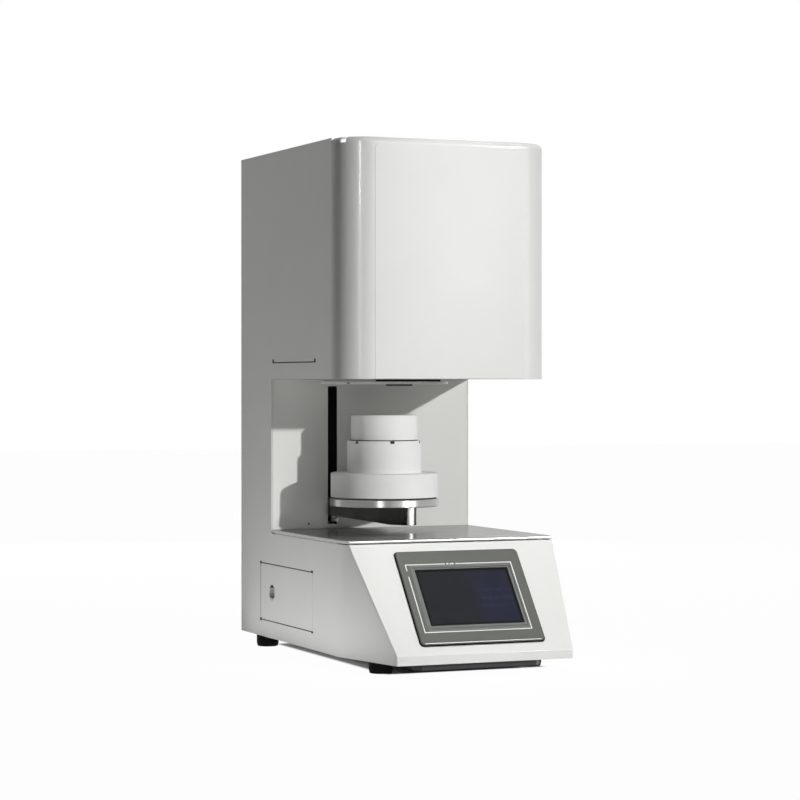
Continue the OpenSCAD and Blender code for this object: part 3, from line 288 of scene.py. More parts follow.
def fired_ceramic(name, colour):
    """Matt alumina: faint speckle, cloudy tone, dry pressed surface."""
    s = Surface(name, colour, 0.62, specular_ior_level=0.35)
    speck = s.noise(0.9 * MM, 2)
    cloud = s.noise(26 * MM, 4)
    tone = s.mix(s.spread(cloud, 0.3, 0.7), shaded(colour, 0.965), colour)
    s.paint(s.mix(s.spread(speck, 0.66, 0.74, 0, 0.16), tone, shaded(colour, 0.7)))
    s.vary_roughness(cloud, 0.55, 0.7)
    s.bump(s.noise(0.5 * MM, 4), 0.03 * MM, 0.7)
    s.bump(s.noise(6 * MM, 2), 0.05 * MM, 0.5)


def fibre_board(name, colour):
    """Vacuum-formed alumina fibre: soft, flocky, with layered streaks."""
    s = Surface(name, colour, 0.95, specular_ior_level=0.1)
    s.mottle(s.noise(3 * MM, 6, (1, 1, 0.4)), 0.06)
    s.bump(s.noise(0.8 * MM, 6, distortion=1.2), 0.35 * MM, 0.8)


def felt(name, colour):
    """Felt of dark, tangled fibres."""
    s = Surface(name, colour, 0.95, specular_ior_level=0.15, sheen_weight=0.25)
    s.mottle(s.noise(1.2 * MM, 6, distortion=1.5), 0.35)
    s.bump(s.noise(0.45 * MM, 6, distortion=2.0), 0.25 * MM, 0.9)


def turned_steel(name, colour, centre, low):
    """Steel turned on a lathe: rings on the flats, hoops on the rim, soft bands of tone, and painted shade
    that makes it black below low, on its underside.
    """
    s = Surface(name, colour, 0.29, 1.0)
    s.brush(0.7)
    x, y, z = s.parts()
    radius = s.distance(s.math("SUBTRACT", x, centre.x), s.math("SUBTRACT", y, centre.y))
    across = s.node("ShaderNodeCombineXYZ")
    s.link(s.math("ADD", radius, z), across.inputs[0])
    rings = s.node("ShaderNodeTexNoise")
    rings.inputs["Scale"].default_value = 1 / (1.6 * MM)
    rings.inputs["Detail"].default_value = 2
    s.link(across.outputs[0], rings.inputs["Vector"])
    rings = rings.outputs["Fac"]
    cloud = s.noise(22 * MM, 3)
    tone = s.mottle(rings, 0.10, 0.35, 0.65)
    # Painted shade: black below low, on the underside
    s.paint(s.mix(s.spread(z, low + 0.1 * MM, low + 0.5 * MM), (0.02, 0.02, 0.02), tone))
    s.vary_roughness(s.math("MULTIPLY_ADD", rings, 0.5, s.math("MULTIPLY", cloud, 0.5)), 0.26, 0.33)
    s.bump(rings, 0.004 * MM, 0.4)


def arm_steel(name, dark, highlight_colour):
    """Blackened steel arm with a painted highlight: a stripe of near-white metal, 10 mm across, on one side
    of its rounded end.
    """
    s = Surface(name, dark, 0.2, 1.0)
    s.brush(0.7)
    x, y = s.parts()[:2]
    dx = s.math("SUBTRACT", x, ARM_HIGH.x - NOSE_R)
    dy = s.math("SUBTRACT", y, ARM_LOW.y + NOSE_R)
    # Painted highlight: mask of the stripe on the rounded end, 10 mm across
    highlight_mask = s.spread(s.distance(dx, dy), NOSE_R + 0.2 * MM, NOSE_R + 1.0 * MM, 1, 0)
    along = s.math("SUBTRACT", s.math("MULTIPLY", dx, math.cos(NOSE_HIGHLIGHT_TURN)),
                   s.math("MULTIPLY", dy, math.sin(NOSE_HIGHLIGHT_TURN)))
    for end, fade in ((-0.1 * MM, 0.5 * MM), (10.1 * MM, -0.5 * MM)):
        highlight_mask = s.math("MULTIPLY", highlight_mask, s.spread(along, end - fade, end + fade))
    lines = s.noise(0.6 * MM, 4, (12, 12, 1))
    body = s.mix(s.spread(lines, 0.3, 0.7), shaded(dark, 0.8), shaded(dark, 1.2))
    # Near-white metal of the painted highlight
    turned = s.mix(s.spread(lines, 0.3, 0.7), shaded(highlight_colour, 0.94), highlight_colour)
    s.paint(s.mix(highlight_mask, body, turned))
    s.vary_roughness(s.noise(20 * MM, 3), 0.15, 0.24)
    s.bump(lines, 0.003 * MM, 0.3)


def display(name):
    """Black glass over a dim screen: a faint blue panel with three rows, and a black edge round it."""
    panel_fade = (-8 * MM, 30 * MM)
    rows_up = (113.5 * MM, 98.5 * MM, 85.5 * MM)
    row_half = (29 * MM, 3.2 * MM)
    row_middle = 43 * MM
    fade = 2 * MM
    half_w = SCREEN[0] / 2
    low = BEZEL_MID - SCREEN[1] / 2
    high = BEZEL_MID + SCREEN[1] / 2
    s = Surface(name, (0.008, 0.008, 0.009), 0.07, specular_ior_level=0.12)
    parts = s.parts()
    x = parts[0]
    up = s.math("DIVIDE", s.math("SUBTRACT", parts[2], LIP_HIGH), math.sin(FACE_ANGLE))
    inside = None
    for value, edge, way, border in ((x, -half_w, 1, 5 * MM), (x, half_w, -1, 4 * MM), (up, low, 1, 4 * MM),
                                     (up, high, -1, 4 * MM)):
        ramp = s.spread(value, edge + way * border, edge + way * (border + fade))
        inside = ramp if inside is None else s.math("MULTIPLY", inside, ramp)
    rows = None
    for middle in rows_up:
        near = s.math("COMPARE", up, middle, row_half[1])
        rows = near if rows is None else s.math("MAXIMUM", rows, near)
    rows = s.math("MULTIPLY", rows, s.math("COMPARE", x, row_middle, row_half[0]))
    rows = s.math("MULTIPLY", rows, s.spread(s.noise(5 * MM, 3, (1, 0.35, 0.35)), 0.46, 0.60))
    right = s.spread(x, *panel_fade, smooth=True)
    glow = s.mix(s.math("MULTIPLY", right, inside), (0.010, 0.011, 0.014), (0.010, 0.012, 0.030))
    glow = s.mix(s.math("MULTIPLY", rows, inside), glow, (0.016, 0.021, 0.055))
    s.link(glow, s.shader.inputs["Emission Color"])
    s.shader.inputs["Emission Strength"].default_value = 1.0
    s.mottle(s.noise(40 * MM, 3), 0.2)
    s.vary_roughness(s.noise(25 * MM, 4), 0.05, 0.10)


def door_cup(name, colour):
    """Finger pull: painted cup, with painted shade under its upper rim."""
    s = Surface(name, colour, 0.4, specular_ior_level=0.3)
    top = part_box("door_pull")[1].z
    shade = s.spread(s.parts()[2], top - 11 * MM, top - 7 * MM, 1, 0.03, True)
    tone = s.mix(s.noise(12 * MM, 3), shaded(colour, 0.92), colour)
    # Painted shade: near black under the upper rim
    s.paint(s.mix(shade, (0.01, 0.01, 0.01), tone))
    s.vary_roughness(s.noise(8 * MM, 3), 0.36, 0.46)
    s.bump(s.noise(1.5 * MM, 2), 0.01 * MM, 0.4)


def circuit_board(name, colour):
    """Lacquered board with a grid of paler tracks."""
    s = Surface(name, colour, 0.4, coat_weight=0.3, coat_roughness=0.15)
    brick = s.node("ShaderNodeTexBrick")
    brick.inputs["Scale"].default_value = 1 / (9 * MM)
    brick.inputs["Mortar Size"].default_value = 0.06
    s.link(s.place, brick.inputs["Vector"])
    s.paint(s.mix(brick.outputs["Fac"], colour, shaded(colour, 1.9)))
    s.bump(brick.outputs["Fac"], 0.035 * MM, 0.6)


powder_coat("painted_side", (0.76, 0.76, 0.735))
powder_coat("painted_front", (0.73, 0.73, 0.71))
powder_coat("ring_light", (0.66, 0.66, 0.64))
powder_coat("dark_tray", (0.030, 0.030, 0.032))
powder_coat("motor_black", (0.03, 0.03, 0.033))
rolled_metal("polished_deck", (0.42, 0.42, 0.41), 0.22, run=(40, 1, 1), relief=0.03, contrast=0.04, edge=0.6,
             smear=0.7, axis="Y")
rolled_metal("steel", (0.60, 0.60, 0.60), 0.28)
rolled_metal("aluminium", (0.72, 0.73, 0.74), 0.32)
rolled_metal("bronze", (0.60, 0.42, 0.20), 0.33)
rolled_metal("transformer_core", (0.22, 0.19, 0.17), 0.55, run=(20, 1, 20), relief=1.0, contrast=0.3)
galvanised("galvanised_sheet", (0.60, 0.61, 0.62))
turned_steel("brushed_disc", (0.40, 0.40, 0.39), AXIS, DISC_LOW.z)
arm_steel("arm_dark", (0.05, 0.05, 0.046), (0.90, 0.90, 0.89))
rubber("rubber", (0.004, 0.004, 0.004))
felt("felt_dark", (0.055, 0.055, 0.055))
fibre_board("fibre_board", (0.86, 0.85, 0.82))
fired_ceramic("ceramic_white", (0.96, 0.96, 0.945))
moulded("dark_plastic", (0.022, 0.022, 0.024), 0.45)
moulded("breaker_grey", (0.55, 0.56, 0.57), 0.45)
moulded("disilicide", (0.10, 0.10, 0.11), 0.5, grain=1.2 * MM, depth=0.08 * MM, mottling=0.25)
moulded("rocker_red", (0.50, 0.03, 0.02), 0.25, grain=1.5 * MM, depth=0.01 * MM, mottling=0.04)
moulded("line_white", (0.80, 0.80, 0.78), 0.5, grain=0.5 * MM, depth=0.01 * MM, mottling=0.02)
for name, colour in (("bezel_grey", (0.108, 0.112, 0.098)), ("band_grey", (0.155, 0.162, 0.155))):
    moulded(name, colour, 0.45, grain=0.5 * MM, depth=0.02 * MM, mottling=0.03, gloss=0.25)
display("display_black")
door_cup("pull_dark", (0.62, 0.62, 0.60))
circuit_board("board_green", (0.03, 0.16, 0.08))


# Helpers for meshes

def add_mesh(name, points, faces, smooth=True):
    mesh = bpy.data.meshes.new(name)
    mesh.from_pydata([tuple(p) for p in points], [], faces)
    mesh.validate()
    mesh.update()
    mesh.shade_smooth() if smooth else mesh.shade_flat()
    made = bpy.data.objects.new(name, mesh)
    bpy.context.scene.collection.objects.link(made)
    return made


def row_faces(rows, count, wrap=False):
    """Faces between rows of count points, each row a loop; wrap joins the last row to the first."""
    faces = []
    for r in range(rows if wrap else rows - 1):
        a = r * count
        b = (r + 1) % rows * count
        for i in range(count):
            n = (i + 1) % count
            faces.append((a + i, a + n, b + n, b + i))
    return faces


def dress(made, body, slot, material=None, replaces=()):
    """Gives a piece its material and tells the frame which body it rides on and what it replaces."""
    made.data.materials.append(MATERIALS[material or slot])
    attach(made, body)
    for node in replaces:
        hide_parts(node)
    return made


def even_shading(made, weight, keep_sharp=False):
    """Keeps large faces flat beside rounded edges."""
    weighted = made.modifiers.new("weighted", "WEIGHTED_NORMAL")
    weighted.keep_sharp = keep_sharp
    weighted.weight = weight


def thicken(made, thickness, even=False):
    """Makes a sheet solid on the side away from its normals."""
    thick = made.modifiers.new("thick", "SOLIDIFY")
    thick.thickness = thickness
    thick.offset = -1.0
    thick.use_even_offset = even


def soften(made, width, angle=30, weld=False):
    """Rounds the edges a little, so that they catch the light as real ones do."""
    if weld:
        made.modifiers.new("weld", "WELD").merge_threshold = 0.005 * MM
        flat = made.modifiers.new("flat", "DECIMATE")
        flat.decimate_type = "DISSOLVE"
        flat.angle_limit = math.radians(0.4)
    bevel = made.modifiers.new("bevel", "BEVEL")
    bevel.width = width
    bevel.segments = 2
    bevel.limit_method = "ANGLE"
    bevel.angle_limit = math.radians(angle)
    bevel.miter_outer = "MITER_ARC"
    bevel.use_clamp_overlap = weld
    even_shading(made, 90, True)


def rounded_corners(points, radii, steps=5, closed=False):
    """The outline with each corner replaced by an arc of its radius."""
    out = []
    count = len(points)
    for i, (point, radius) in enumerate(zip(points, radii)):
        p = Vector(point)
        if radius <= 0 or (not closed and i in (0, count - 1)):
            out.append(tuple(p))
            continue
        a = (Vector(points[i - 1]) - p).normalized()
        b = (Vector(points[(i + 1) % count]) - p).normalized()
        half = a.angle(b) / 2
        run = radius / math.tan(half)
        middle = p + (a + b).normalized() * (radius / math.sin(half))
        start = (p + a * run) - middle
        end = (p + b * run) - middle
        turn = start.angle_signed(end)
        for k in range(steps + 1):
            out.append(tuple(middle + Matrix.Rotation(-turn * k / steps, 2) @ start))
    return out


def rounded_box(half, radii, steps):
    """Outline of a box round the origin, from its half sizes and a radius for each corner."""
    corners = [(-half[0], -half[1]), (half[0], -half[1]), (half[0], half[1]), (-half[0], half[1])]
    return rounded_corners(corners, radii, steps, True)


def lathe(name, profile, centre, segments=128):
    """Solid of revolution about the Z axis through centre; the profile is a closed run of (radius, z)."""
    turns = [2 * math.pi * i / segments for i in range(segments)]
    points = [(centre.x + r * math.cos(t), centre.y + r * math.sin(t), z) for r, z in profile for t in turns]
    made = add_mesh(name, points, row_faces(len(profile), segments, True))
    made.modifiers.new("weld", "WELD").merge_threshold = 0.01 * MM
    even_shading(made, 90)
    return made


def ring_profile(inner, outer, low, high):
    return [(inner, low), (outer, low), (outer, high), (inner, high)]


def on_face(u, v, n):
    """Point of the sloping face: u to the right, v up the slope from the lip, n out of the face."""
    c = math.cos(FACE_ANGLE)
    s = math.sin(FACE_ANGLE)
    return Vector((u, FRONT_Y + v * c - n * s, LIP_HIGH + v * s + n * c))


# The head's front cover: one bent sheet, round at its corners and along its top edge, with a flat plate

def head_front_cover():
    middle_x = HALF_W - CORNER_R
    notch_turn = 33.0
    notch_half = 5.5
    step = 3.0
    cuts = 24
    turns = sorted({step * i for i in range(31)} | {notch_turn - notch_half, notch_turn + notch_half})
    left = [(-middle_x, t) for t in turns]
    flat = [(-middle_x + 2 * middle_x * i / cuts, 90.0) for i in range(1, cuts)]
    right = [(middle_x, 180.0 - t) for t in reversed(turns)]
    columns = left + flat + right
    top = COVER_HIGH.z
    bend_z = top - TOP_R
    rows = [(0.0, COVER_LOW.z + (bend_z - COVER_LOW.z) * i / cuts) for i in range(cuts + 1)]
    bend = [math.radians(10 * i) for i in range(1, 10)]
    rows += [(TOP_R * (1 - math.cos(t)), bend_z + TOP_R * math.sin(t)) for t in bend]
    rows += [(TOP_R + 0.5 * TOP_RIM, top), (TOP_R + TOP_RIM, top)]
    points = []
    for x, t in columns:
        n = Vector((-math.cos(math.radians(t)), -math.sin(math.radians(t)), 0))
        for inset, z in rows:
            points.append(Vector((x, COVER_HIGH.y, z)) + n * (CORNER_R - inset))
    deep = len(rows)
    faces = []
    for c in range(len(columns) - 1):
        turn = (columns[c][1] + columns[c + 1][1]) / 2
        turn = min(turn, 180 - turn)
        notched = abs(turn - notch_turn) < notch_half
        for r in range(deep - 1):
            if notched and rows[r][1] >= bend_z - 0.1 * MM:
                continue
            a = c * deep + r
            faces.append((a, a + deep, a + deep + 1, a + 1))
    made = add_mesh("head_front_cover_sheet", points, faces)
    thicken(made, SHEET, True)
    soften(made, 0.5 * MM, 40)
    dress(made, "housing", "painted_front", replaces=["head_front_cover"])


def head_front_plate():
    """Thin plate on the head's front, with rounded upper corners. Its edges show as fine lines."""
    proud = 0.6 * MM
    sunk = 0.05 * MM
    corner = (0.4 * MM, 9.0 * MM)
    low = COVER_LOW.z + 0.4 * MM
    high = COVER_HIGH.z - TOP_R
    half = (HALF_W - CORNER_R, (high - low) / 2)
    middle = (high + low) / 2
    rings = []
    for inset, rise in ((0, 0), (0, 0.3 * proud), (0.45 * proud, 0.85 * proud), (1.1 * proud, proud)):
        radii = [corner[0]] * 2 + [corner[1] - inset] * 2
        rings.append((rounded_box((half[0] - inset, half[1] - inset), radii, 8), rise))
    points = [(x, COVER_LOW.y + sunk - rise, middle + z) for ring, rise in rings for x, z in ring]
    count = len(rings[0][0])
    last = (len(rings) - 1) * count
    faces = row_faces(len(rings), count) + [tuple(range(last, last + count)), tuple(reversed(range(count)))]
    made = add_mesh("head_front_plate", points, faces)
    even_shading(made, 95)
    dress(made, "housing", "painted_front")


# The deck: a tray-shaped sheet with a rounded front edge

def pan(name, outline, z_low, z_high, radius, thickness):
    """Sheet with its edges turned down all round: outline in plan, rounded along the top edge."""
    steps = 6
    bend = [math.radians(90 * k / steps) for k in range(1, steps + 1)]
    rings = [(0.0, z_low), (0.0, z_high - radius)]
    rings += [(radius * (1 - math.cos(t)), z_high - radius + radius * math.sin(t)) for t in bend]
    count = len(outline)
    points = []
    for inset, z in rings:
        for i in range(count):
            p = Vector(outline[i])
            a = (p - Vector(outline[i - 1])).normalized()
            b = (Vector(outline[(i + 1) % count]) - p).normalized()
            normal = Vector((-a.y, a.x))
            middle = (normal + Vector((-b.y, b.x))).normalized()
            q = p + middle * (inset / max(0.2, middle.dot(normal)))
            points.append((q.x, q.y, z))
    last = (len(rings) - 1) * count
    made = add_mesh(name, points, row_faces(len(rings), count) + [tuple(range(last, last + count))])
    thicken(made, thickness)
    even_shading(made, 95)
    return made


def deck_plate():
    front = DECK_LOW.y
    back = DECK_HIGH.y
    draw = (HALF_W - LIP_HALF) / (FOLD_Y - FRONT_Y)
    front_x = HALF_W - draw * (FOLD_Y - front)
    corners = [(-front_x, front), (front_x, front), (HALF_W, FOLD_Y), (HALF_W, back), (-HALF_W, back),
               (-HALF_W, FOLD_Y)]
    front_r = 3 * MM
    fold_r = 20 * MM
    back_r = 2 * MM
    outline = rounded_corners(corners, [front_r, front_r, fold_r, back_r, back_r, fold_r], 4, True)
    made = pan("deck_sheet", outline, DECK_LOW.z, DECK_HIGH.z, 2.0 * MM, 1.2 * MM)
    dress(made, "housing", "polished_deck", replaces=["deck_plate"])


# Turned pieces on the platform

def platform_disc():
    r = DISC_HIGH.x - AXIS.x
    low = DISC_LOW.z
    high = DISC_HIGH.z
    chamfer_low = 1.2 * MM
    chamfer_high = 0.9 * MM
    profile = rounded_corners(
        [(0, low), (r - chamfer_low, low), (r, low + chamfer_low),
         (r, high - chamfer_high), (r - chamfer_high, high), (0, high)],
        [0, 0.8 * MM, 0.8 * MM, 0.6 * MM, 0.6 * MM, 0], 3)
    made = lathe("platform_disc_turned", profile, AXIS, 160)
    dress(made, "platform", "brushed_disc", replaces=["platform_disc"])


def plug_felt():
    r = FELT_HIGH.x - AXIS.x
    edge = 0.8 * MM
    profile = rounded_corners(ring_profile(0, r, FELT_LOW.z, FELT_HIGH.z), [0, edge, edge, 0], 4)
    dress(lathe("plug_felt_pad", profile, AXIS), "platform", "felt_dark", replaces=["plug_felt"])


def insulating_plug():
    r = PLUG_HIGH.x - AXIS.x
    profile = rounded_corners(ring_profile(0, r, PLUG_LOW.z, PLUG_HIGH.z), [0, 1.0 * MM, 2.2 * MM, 0], 5)
    made = lathe("insulating_plug_block", profile, AXIS, 160)
    dress(made, "platform", "ceramic_white", replaces=["insulating_plug"])


def crucible_cover():
    r = LID_HIGH.x - AXIS.x
    low = LID_LOW.z
    high = LID_HIGH.z
    wall = 8 * MM
    rest = low + 6.15 * MM
    spigot = 51.5 * MM
    inner = r - wall
    roof = high - wall
    profile = rounded_corners(
        [(0, high), (r, high), (r, rest), (spigot, rest),
         (spigot, low), (inner, low), (inner, roof), (0, roof)],
        [0, 2.0 * MM, 0.6 * MM, 0.1 * MM, 0.6 * MM, 0.5 * MM, 2 * MM, 0], 5)
    made = lathe("crucible_cover_dish", profile, AXIS, 160)
    dress(made, "cover", "ceramic_white", replaces=["crucible_cover"])


def crucible_details():
    """Painted shade: a black ring in the crucible's wall, seen in its vent notches; and the dark joint under
    its cover.
    """
    rim = CRUCIBLE_HIGH.z
    r = CRUCIBLE_HIGH.x - AXIS.x
    # Painted shade seen through the vent notches
    notch_shade = ring_profile(r - 4.5 * MM, r - 0.5 * MM, rim - 7 * MM, rim - 0.3 * MM)
    dress(lathe("crucible_notch_shade", notch_shade, AXIS), "crucible", "felt_dark")
    r = LID_HIGH.x - AXIS.x
    joint = ring_profile(r - 0.5 * MM, r + 0.2 * MM, rim + 0.1 * MM, rim + 1.6 * MM)
    dress(lathe("crucible_cover_joint", joint, AXIS), "cover", "felt_dark")


# Touch panel: moulded frame, white line round the display, glass

def grown(half, by):
    """Half width and half height, each larger by the same."""
    return (half[0] + by, half[1] + by)


def frame_ring(name, outer, inner, radii, low, high, chamfer, centre_v=BEZEL_MID):
    """Ring on the sloping face, chamfered round its outside: outer and inner half sizes, corner radii."""
    rings = [
        (rounded_box(outer, [radii[0]] * 4, 6), low),
        (rounded_box(outer, [radii[0]] * 4, 6), high - chamfer),
        (rounded_box(grown(outer, -chamfer), [radii[0] - chamfer] * 4, 6), high),
        (rounded_box(inner, [radii[1]] * 4, 6), high),
        (rounded_box(inner, [radii[1]] * 4, 6), low),
    ]
    points = [on_face(u, centre_v + v, n) for ring, n in rings for u, v in ring]
    return add_mesh(name, points, row_faces(len(rings), len(rings[0][0]), True))


def touch_bezel():
    sunk = 0.05 * MM
    thin = 0.03 * MM
    shelf_high = BEZEL_T - 1.0 * MM
    outer = (BEZEL[0] / 2, BEZEL[1] / 2)
    opening = (SCREEN[0] / 2, SCREEN[1] / 2)
    recess = grown(opening, 5 * MM)
    frame_piece = frame_ring("touch_bezel_frame", outer, recess, (6 * MM, 1.5 * MM), sunk, BEZEL_T, 1.3 * MM)
    soften(frame_piece, 0.25 * MM, 25)
    dress(frame_piece, "housing", "bezel_grey", replaces=["touch_bezel"])
    line = (LINE_RIGHT - LINE_WIDTH, (LINE_HIGH - LINE_LOW) / 2 - LINE_WIDTH)
    band = frame_ring("touch_bezel_band", line, grown(recess, 0.4 * MM), (1 * MM, 1.5 * MM),
                      BEZEL_T - 0.4 * MM, BEZEL_T + thin, thin, (LINE_HIGH + LINE_LOW) / 2)
    dress(band, "housing", "bezel_grey", "band_grey")
    # Rubber gasket round the frame, made black and wide, so that it also paints the shade at the frame's
    # edge
    gasket = frame_ring("touch_bezel_gasket", grown(outer, 1.6 * MM), grown(outer, -1 * MM),
                        (7 * MM, 5 * MM), sunk, 1.9 * MM, 0.3 * MM)
    dress(gasket, "housing", "bezel_grey", "rubber")
    shelf = frame_ring("touch_bezel_shelf", grown(recess, 0.2 * MM), opening,
                       (1.5 * MM, 1 * MM), sunk, shelf_high, 0.05 * MM)
    soften(shelf, 0.2 * MM, 25)
    dress(shelf, "housing", "bezel_grey", "band_grey")
    edge = frame_ring("touch_bezel_edge", grown(opening, 1.2 * MM), grown(opening, -2.4 * MM),
                      (1.2 * MM, 0.8 * MM), shelf_high - 0.1 * MM, shelf_high + 0.05 * MM, thin)
    dress(edge, "housing", "bezel_grey", "rubber")


def printed_bar(name, a, b, width=LINE_WIDTH):
    """Thin white bar printed on the frame from a to b, both (u, v) on the face."""
    low = BEZEL_T - 0.03 * MM
    high = BEZEL_T + 0.03 * MM
    along = (Vector(b) - Vector(a)).normalized()
    side = Vector((-along.y, along.x)) * (width / 2)
    corners = [Vector(a) - side, Vector(b) - side, Vector(b) + side, Vector(a) + side]
    points = [on_face(c.x, c.y, n) for n in (low, high) for c in corners]
    faces = [(3, 2, 1, 0), (4, 5, 6, 7)] + [(i, (i + 1) % 4, 4 + (i + 1) % 4, 4 + i) for i in range(4)]
    dress(add_mesh(name, points, faces, False), "housing", "bezel_grey", "line_white")


def panel_lines():
    """White line printed round the display, open at the top, where a few small marks sit; and a painted
    highlight along the frame's lower edge.
    """
    left = LINE_LEFT
    right = LINE_RIGHT
    low = LINE_LOW
    high = LINE_HIGH
    gap = (-25.0 * MM, -7.5 * MM)
    side_gap = (139.0 * MM, 149.5 * MM)
    half = LINE_WIDTH / 2
    runs = {
        "bottom": ((left - half, low), (right + half, low)),
        "right": ((right, low), (right, high)),
        "top_right": ((right + half, high), (gap[1], high)),
        "top_left": ((gap[0], high), (left - half, high)),
        "left_high": ((left, high), (left, side_gap[1])),
        "left_low": ((left, side_gap[0]), (left, low)),
    }
    for name, (a, b) in runs.items():
        printed_bar("panel_line_" + name, a, b)
    # Painted highlight: a white bar just inside the frame's lower edge, along its bottom chamfer
    sill = BEZEL_MID - BEZEL[1] / 2 + 1.6 * MM
    sill_half = BEZEL[0] / 2 - 6 * MM
    printed_bar("bezel_edge_highlight", (-sill_half, sill), (sill_half, sill), 1.3 * MM)
    marks = ((-21.0 * MM, 3.2 * MM), (-16.2 * MM, 2.0 * MM), (-12.6 * MM, 3.4 * MM))
    for i, (middle, length) in enumerate(marks):
        printed_bar(f"panel_mark_{i}", (middle - length / 2, high), (middle + length / 2, high), 2.4 * MM)


def display_glass():
    half = grown((SCREEN[0] / 2, SCREEN[1] / 2), -0.15 * MM)
    outline = rounded_box(half, [1 * MM] * 4, 4)
    count = len(outline)
    levels = (0.3 * MM, 2.3 * MM)
    points = [on_face(u, BEZEL_MID + v, n) for n in levels for u, v in outline]
    ends = [tuple(reversed(range(count))), tuple(range(count, 2 * count))]
    made = add_mesh("display_glass_pane", points, ends + row_faces(2, count), False)
    soften(made, 0.2 * MM, 40)
    dress(made, "housing", "display_black", replaces=["display_glass"])


# Rubber pieces, most of them painted shade: in the side door's gaps and corner holes, in the slits, and at
# the mouth ring

def block(name, low, high):
    """Rubber block between two corners, with softened edges."""
    points = [(x, y, z) for x in (low[0], high[0]) for y in (low[1], high[1]) for z in (low[2], high[2])]
    faces = [(0, 1, 3, 2), (4, 6, 7, 5), (0, 4, 5, 1), (2, 3, 7, 6), (0, 2, 6, 4), (1, 5, 7, 3)]
    made = add_mesh(name, points, faces)
    soften(made, 0.12 * MM, 40)
    dress(made, "housing", "rubber")


def door_gap_shades():
    """Painted shade of the door's gaps: black rubber lips behind the gaps round its opening, and black
    rubber blocks filling the relief holes at its corners.
    """
    low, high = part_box("access_door")
    gap = 0.8 * MM
    lip = 0.8 * MM
    ease = 0.08 * MM
    hole_shade_half = (3.8 * MM, 2.3 * MM)
    lip_end = 4 * MM
    rear_lip_end = 2 * MM
    hinge_y = low.y + 2 * MM
    back_y = high.y + gap
    face = low.x
    outer = face - 0.04 * MM
    inner = face + 1.8 * MM
    hole_shade_outer = face + 0.3 * MM
    front_hole_shade_inner = face + 0.75 * MM
    start = hinge_y + lip_end
    end = back_y - lip_end
    block("door_gap_shade_low", (outer, start, low.z - gap - lip), (inner, end, low.z - ease))
    block("door_gap_shade_high", (outer, start, high.z + ease), (inner, end, high.z + gap + lip))
    block("door_gap_shade_rear", (outer, high.y + ease, low.z + rear_lip_end),
          (inner, back_y + lip / 2, high.z - rear_lip_end))
    # Painted shade: black blocks in the corner holes
    for name, z, way in (("low", low.z - gap, -1), ("high", high.z + gap, 1)):
        block(f"door_hole_shade_{name}_rear", (hole_shade_outer, back_y - hole_shade_half[0], z - hole_shade_half[1]),
              (inner, back_y + hole_shade_half[0], z + hole_shade_half[1]))
        ends = sorted((z - way * (gap - ease), z + way * hole_shade_half[1]))
        block(f"door_hole_shade_{name}_front", (hole_shade_outer, hinge_y - hole_shade_half[0], ends[0]),
              (front_hole_shade_inner, hinge_y + hole_shade_half[0], ends[1]))


def slit_shade_pieces():
    """Painted shade in the bracket-shaped slit low in each side of the head: black rubber lining inside it.
    """
    start = COVER_LOW.y + 119 * MM
    end = COVER_LOW.y + 315 * MM
    low = COVER_LOW.z + 26.5 * MM
    slit = 1.2 * MM
    tick = 6 * MM
    ease = 0.25 * MM
    proud = 0.04 * MM
    depth = 1.6 * MM
    for side, name in ((-1, "left"), (1, "right")):
        xs = sorted((side * (HALF_W + proud), side * (HALF_W - depth)))
        runs = (("run", start, end, slit + ease), ("front", start, start + tick, tick),
                ("back", end - tick, end, tick))
        for place, a, b, rise in runs:
            block(f"slit_shade_piece_{name}_{place}", (xs[0], a, low - ease), (xs[1], b, low + rise))


def curved_bar(name, centre, radii, turns, heights, steps):
    """Bar bent round an upright axis: inner and outer radius, turns in degrees to the right of the front."""
    points = []
    for i in range(steps + 1):
        angle = math.radians(turns[0] + (turns[1] - turns[0]) * i / steps)
        way = Vector((math.sin(angle), -math.cos(angle), 0))
        points += [centre + way * r + Vector((0, 0, z)) for r in radii for z in heights]
    faces = [(0, 1, 3, 2)]
    for a in range(0, 4 * steps, 4):
        b = a + 4
        faces += [(a, a + 2, b + 2, b), (a + 2, a + 3, b + 3, b + 2), (a + 3, a + 1, b + 1, b + 3),
                  (a + 1, a, b, b + 1)]
    end = 4 * steps
    faces.append((end, end + 2, end + 3, end + 1))
    made = add_mesh(name, points, faces)
    soften(made, 0.15 * MM, 40)
    dress(made, "housing", "rubber")


def mouth_details():
    """Painted shade at the mouth ring: a black bar along its front, in the gap under the head's front, and
    black filling a screw hole in its side; also a short dark bar under it.
    """
    low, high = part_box("mouth_ring")
    r = (high.x - low.x) / 2
    centre = Vector(((low.x + high.x) / 2, low.y + r, low.z))
    # Painted shade of the gap under the head's front
    curved_bar("mouth_gap_shade_front", centre, (r - 0.6 * MM, r + 0.35 * MM), (-30, 38),
               (4.3 * MM, 7.8 * MM), 24)
    curved_bar("mouth_dark_bar_under", centre, (r - 10 * MM, r - 7 * MM), (-21, 5),
               (-2.6 * MM, 0.2 * MM), 12)
    # Painted shade of a screw hole
    curved_bar("mouth_hole_shade", centre, (r - 0.4 * MM, r + 0.08 * MM), (-57.8, -54.4),
               (0.9 * MM, 2.6 * MM), 4)


# Feet: moulded rubber with rounded rims and a screw pocket, a little narrower below

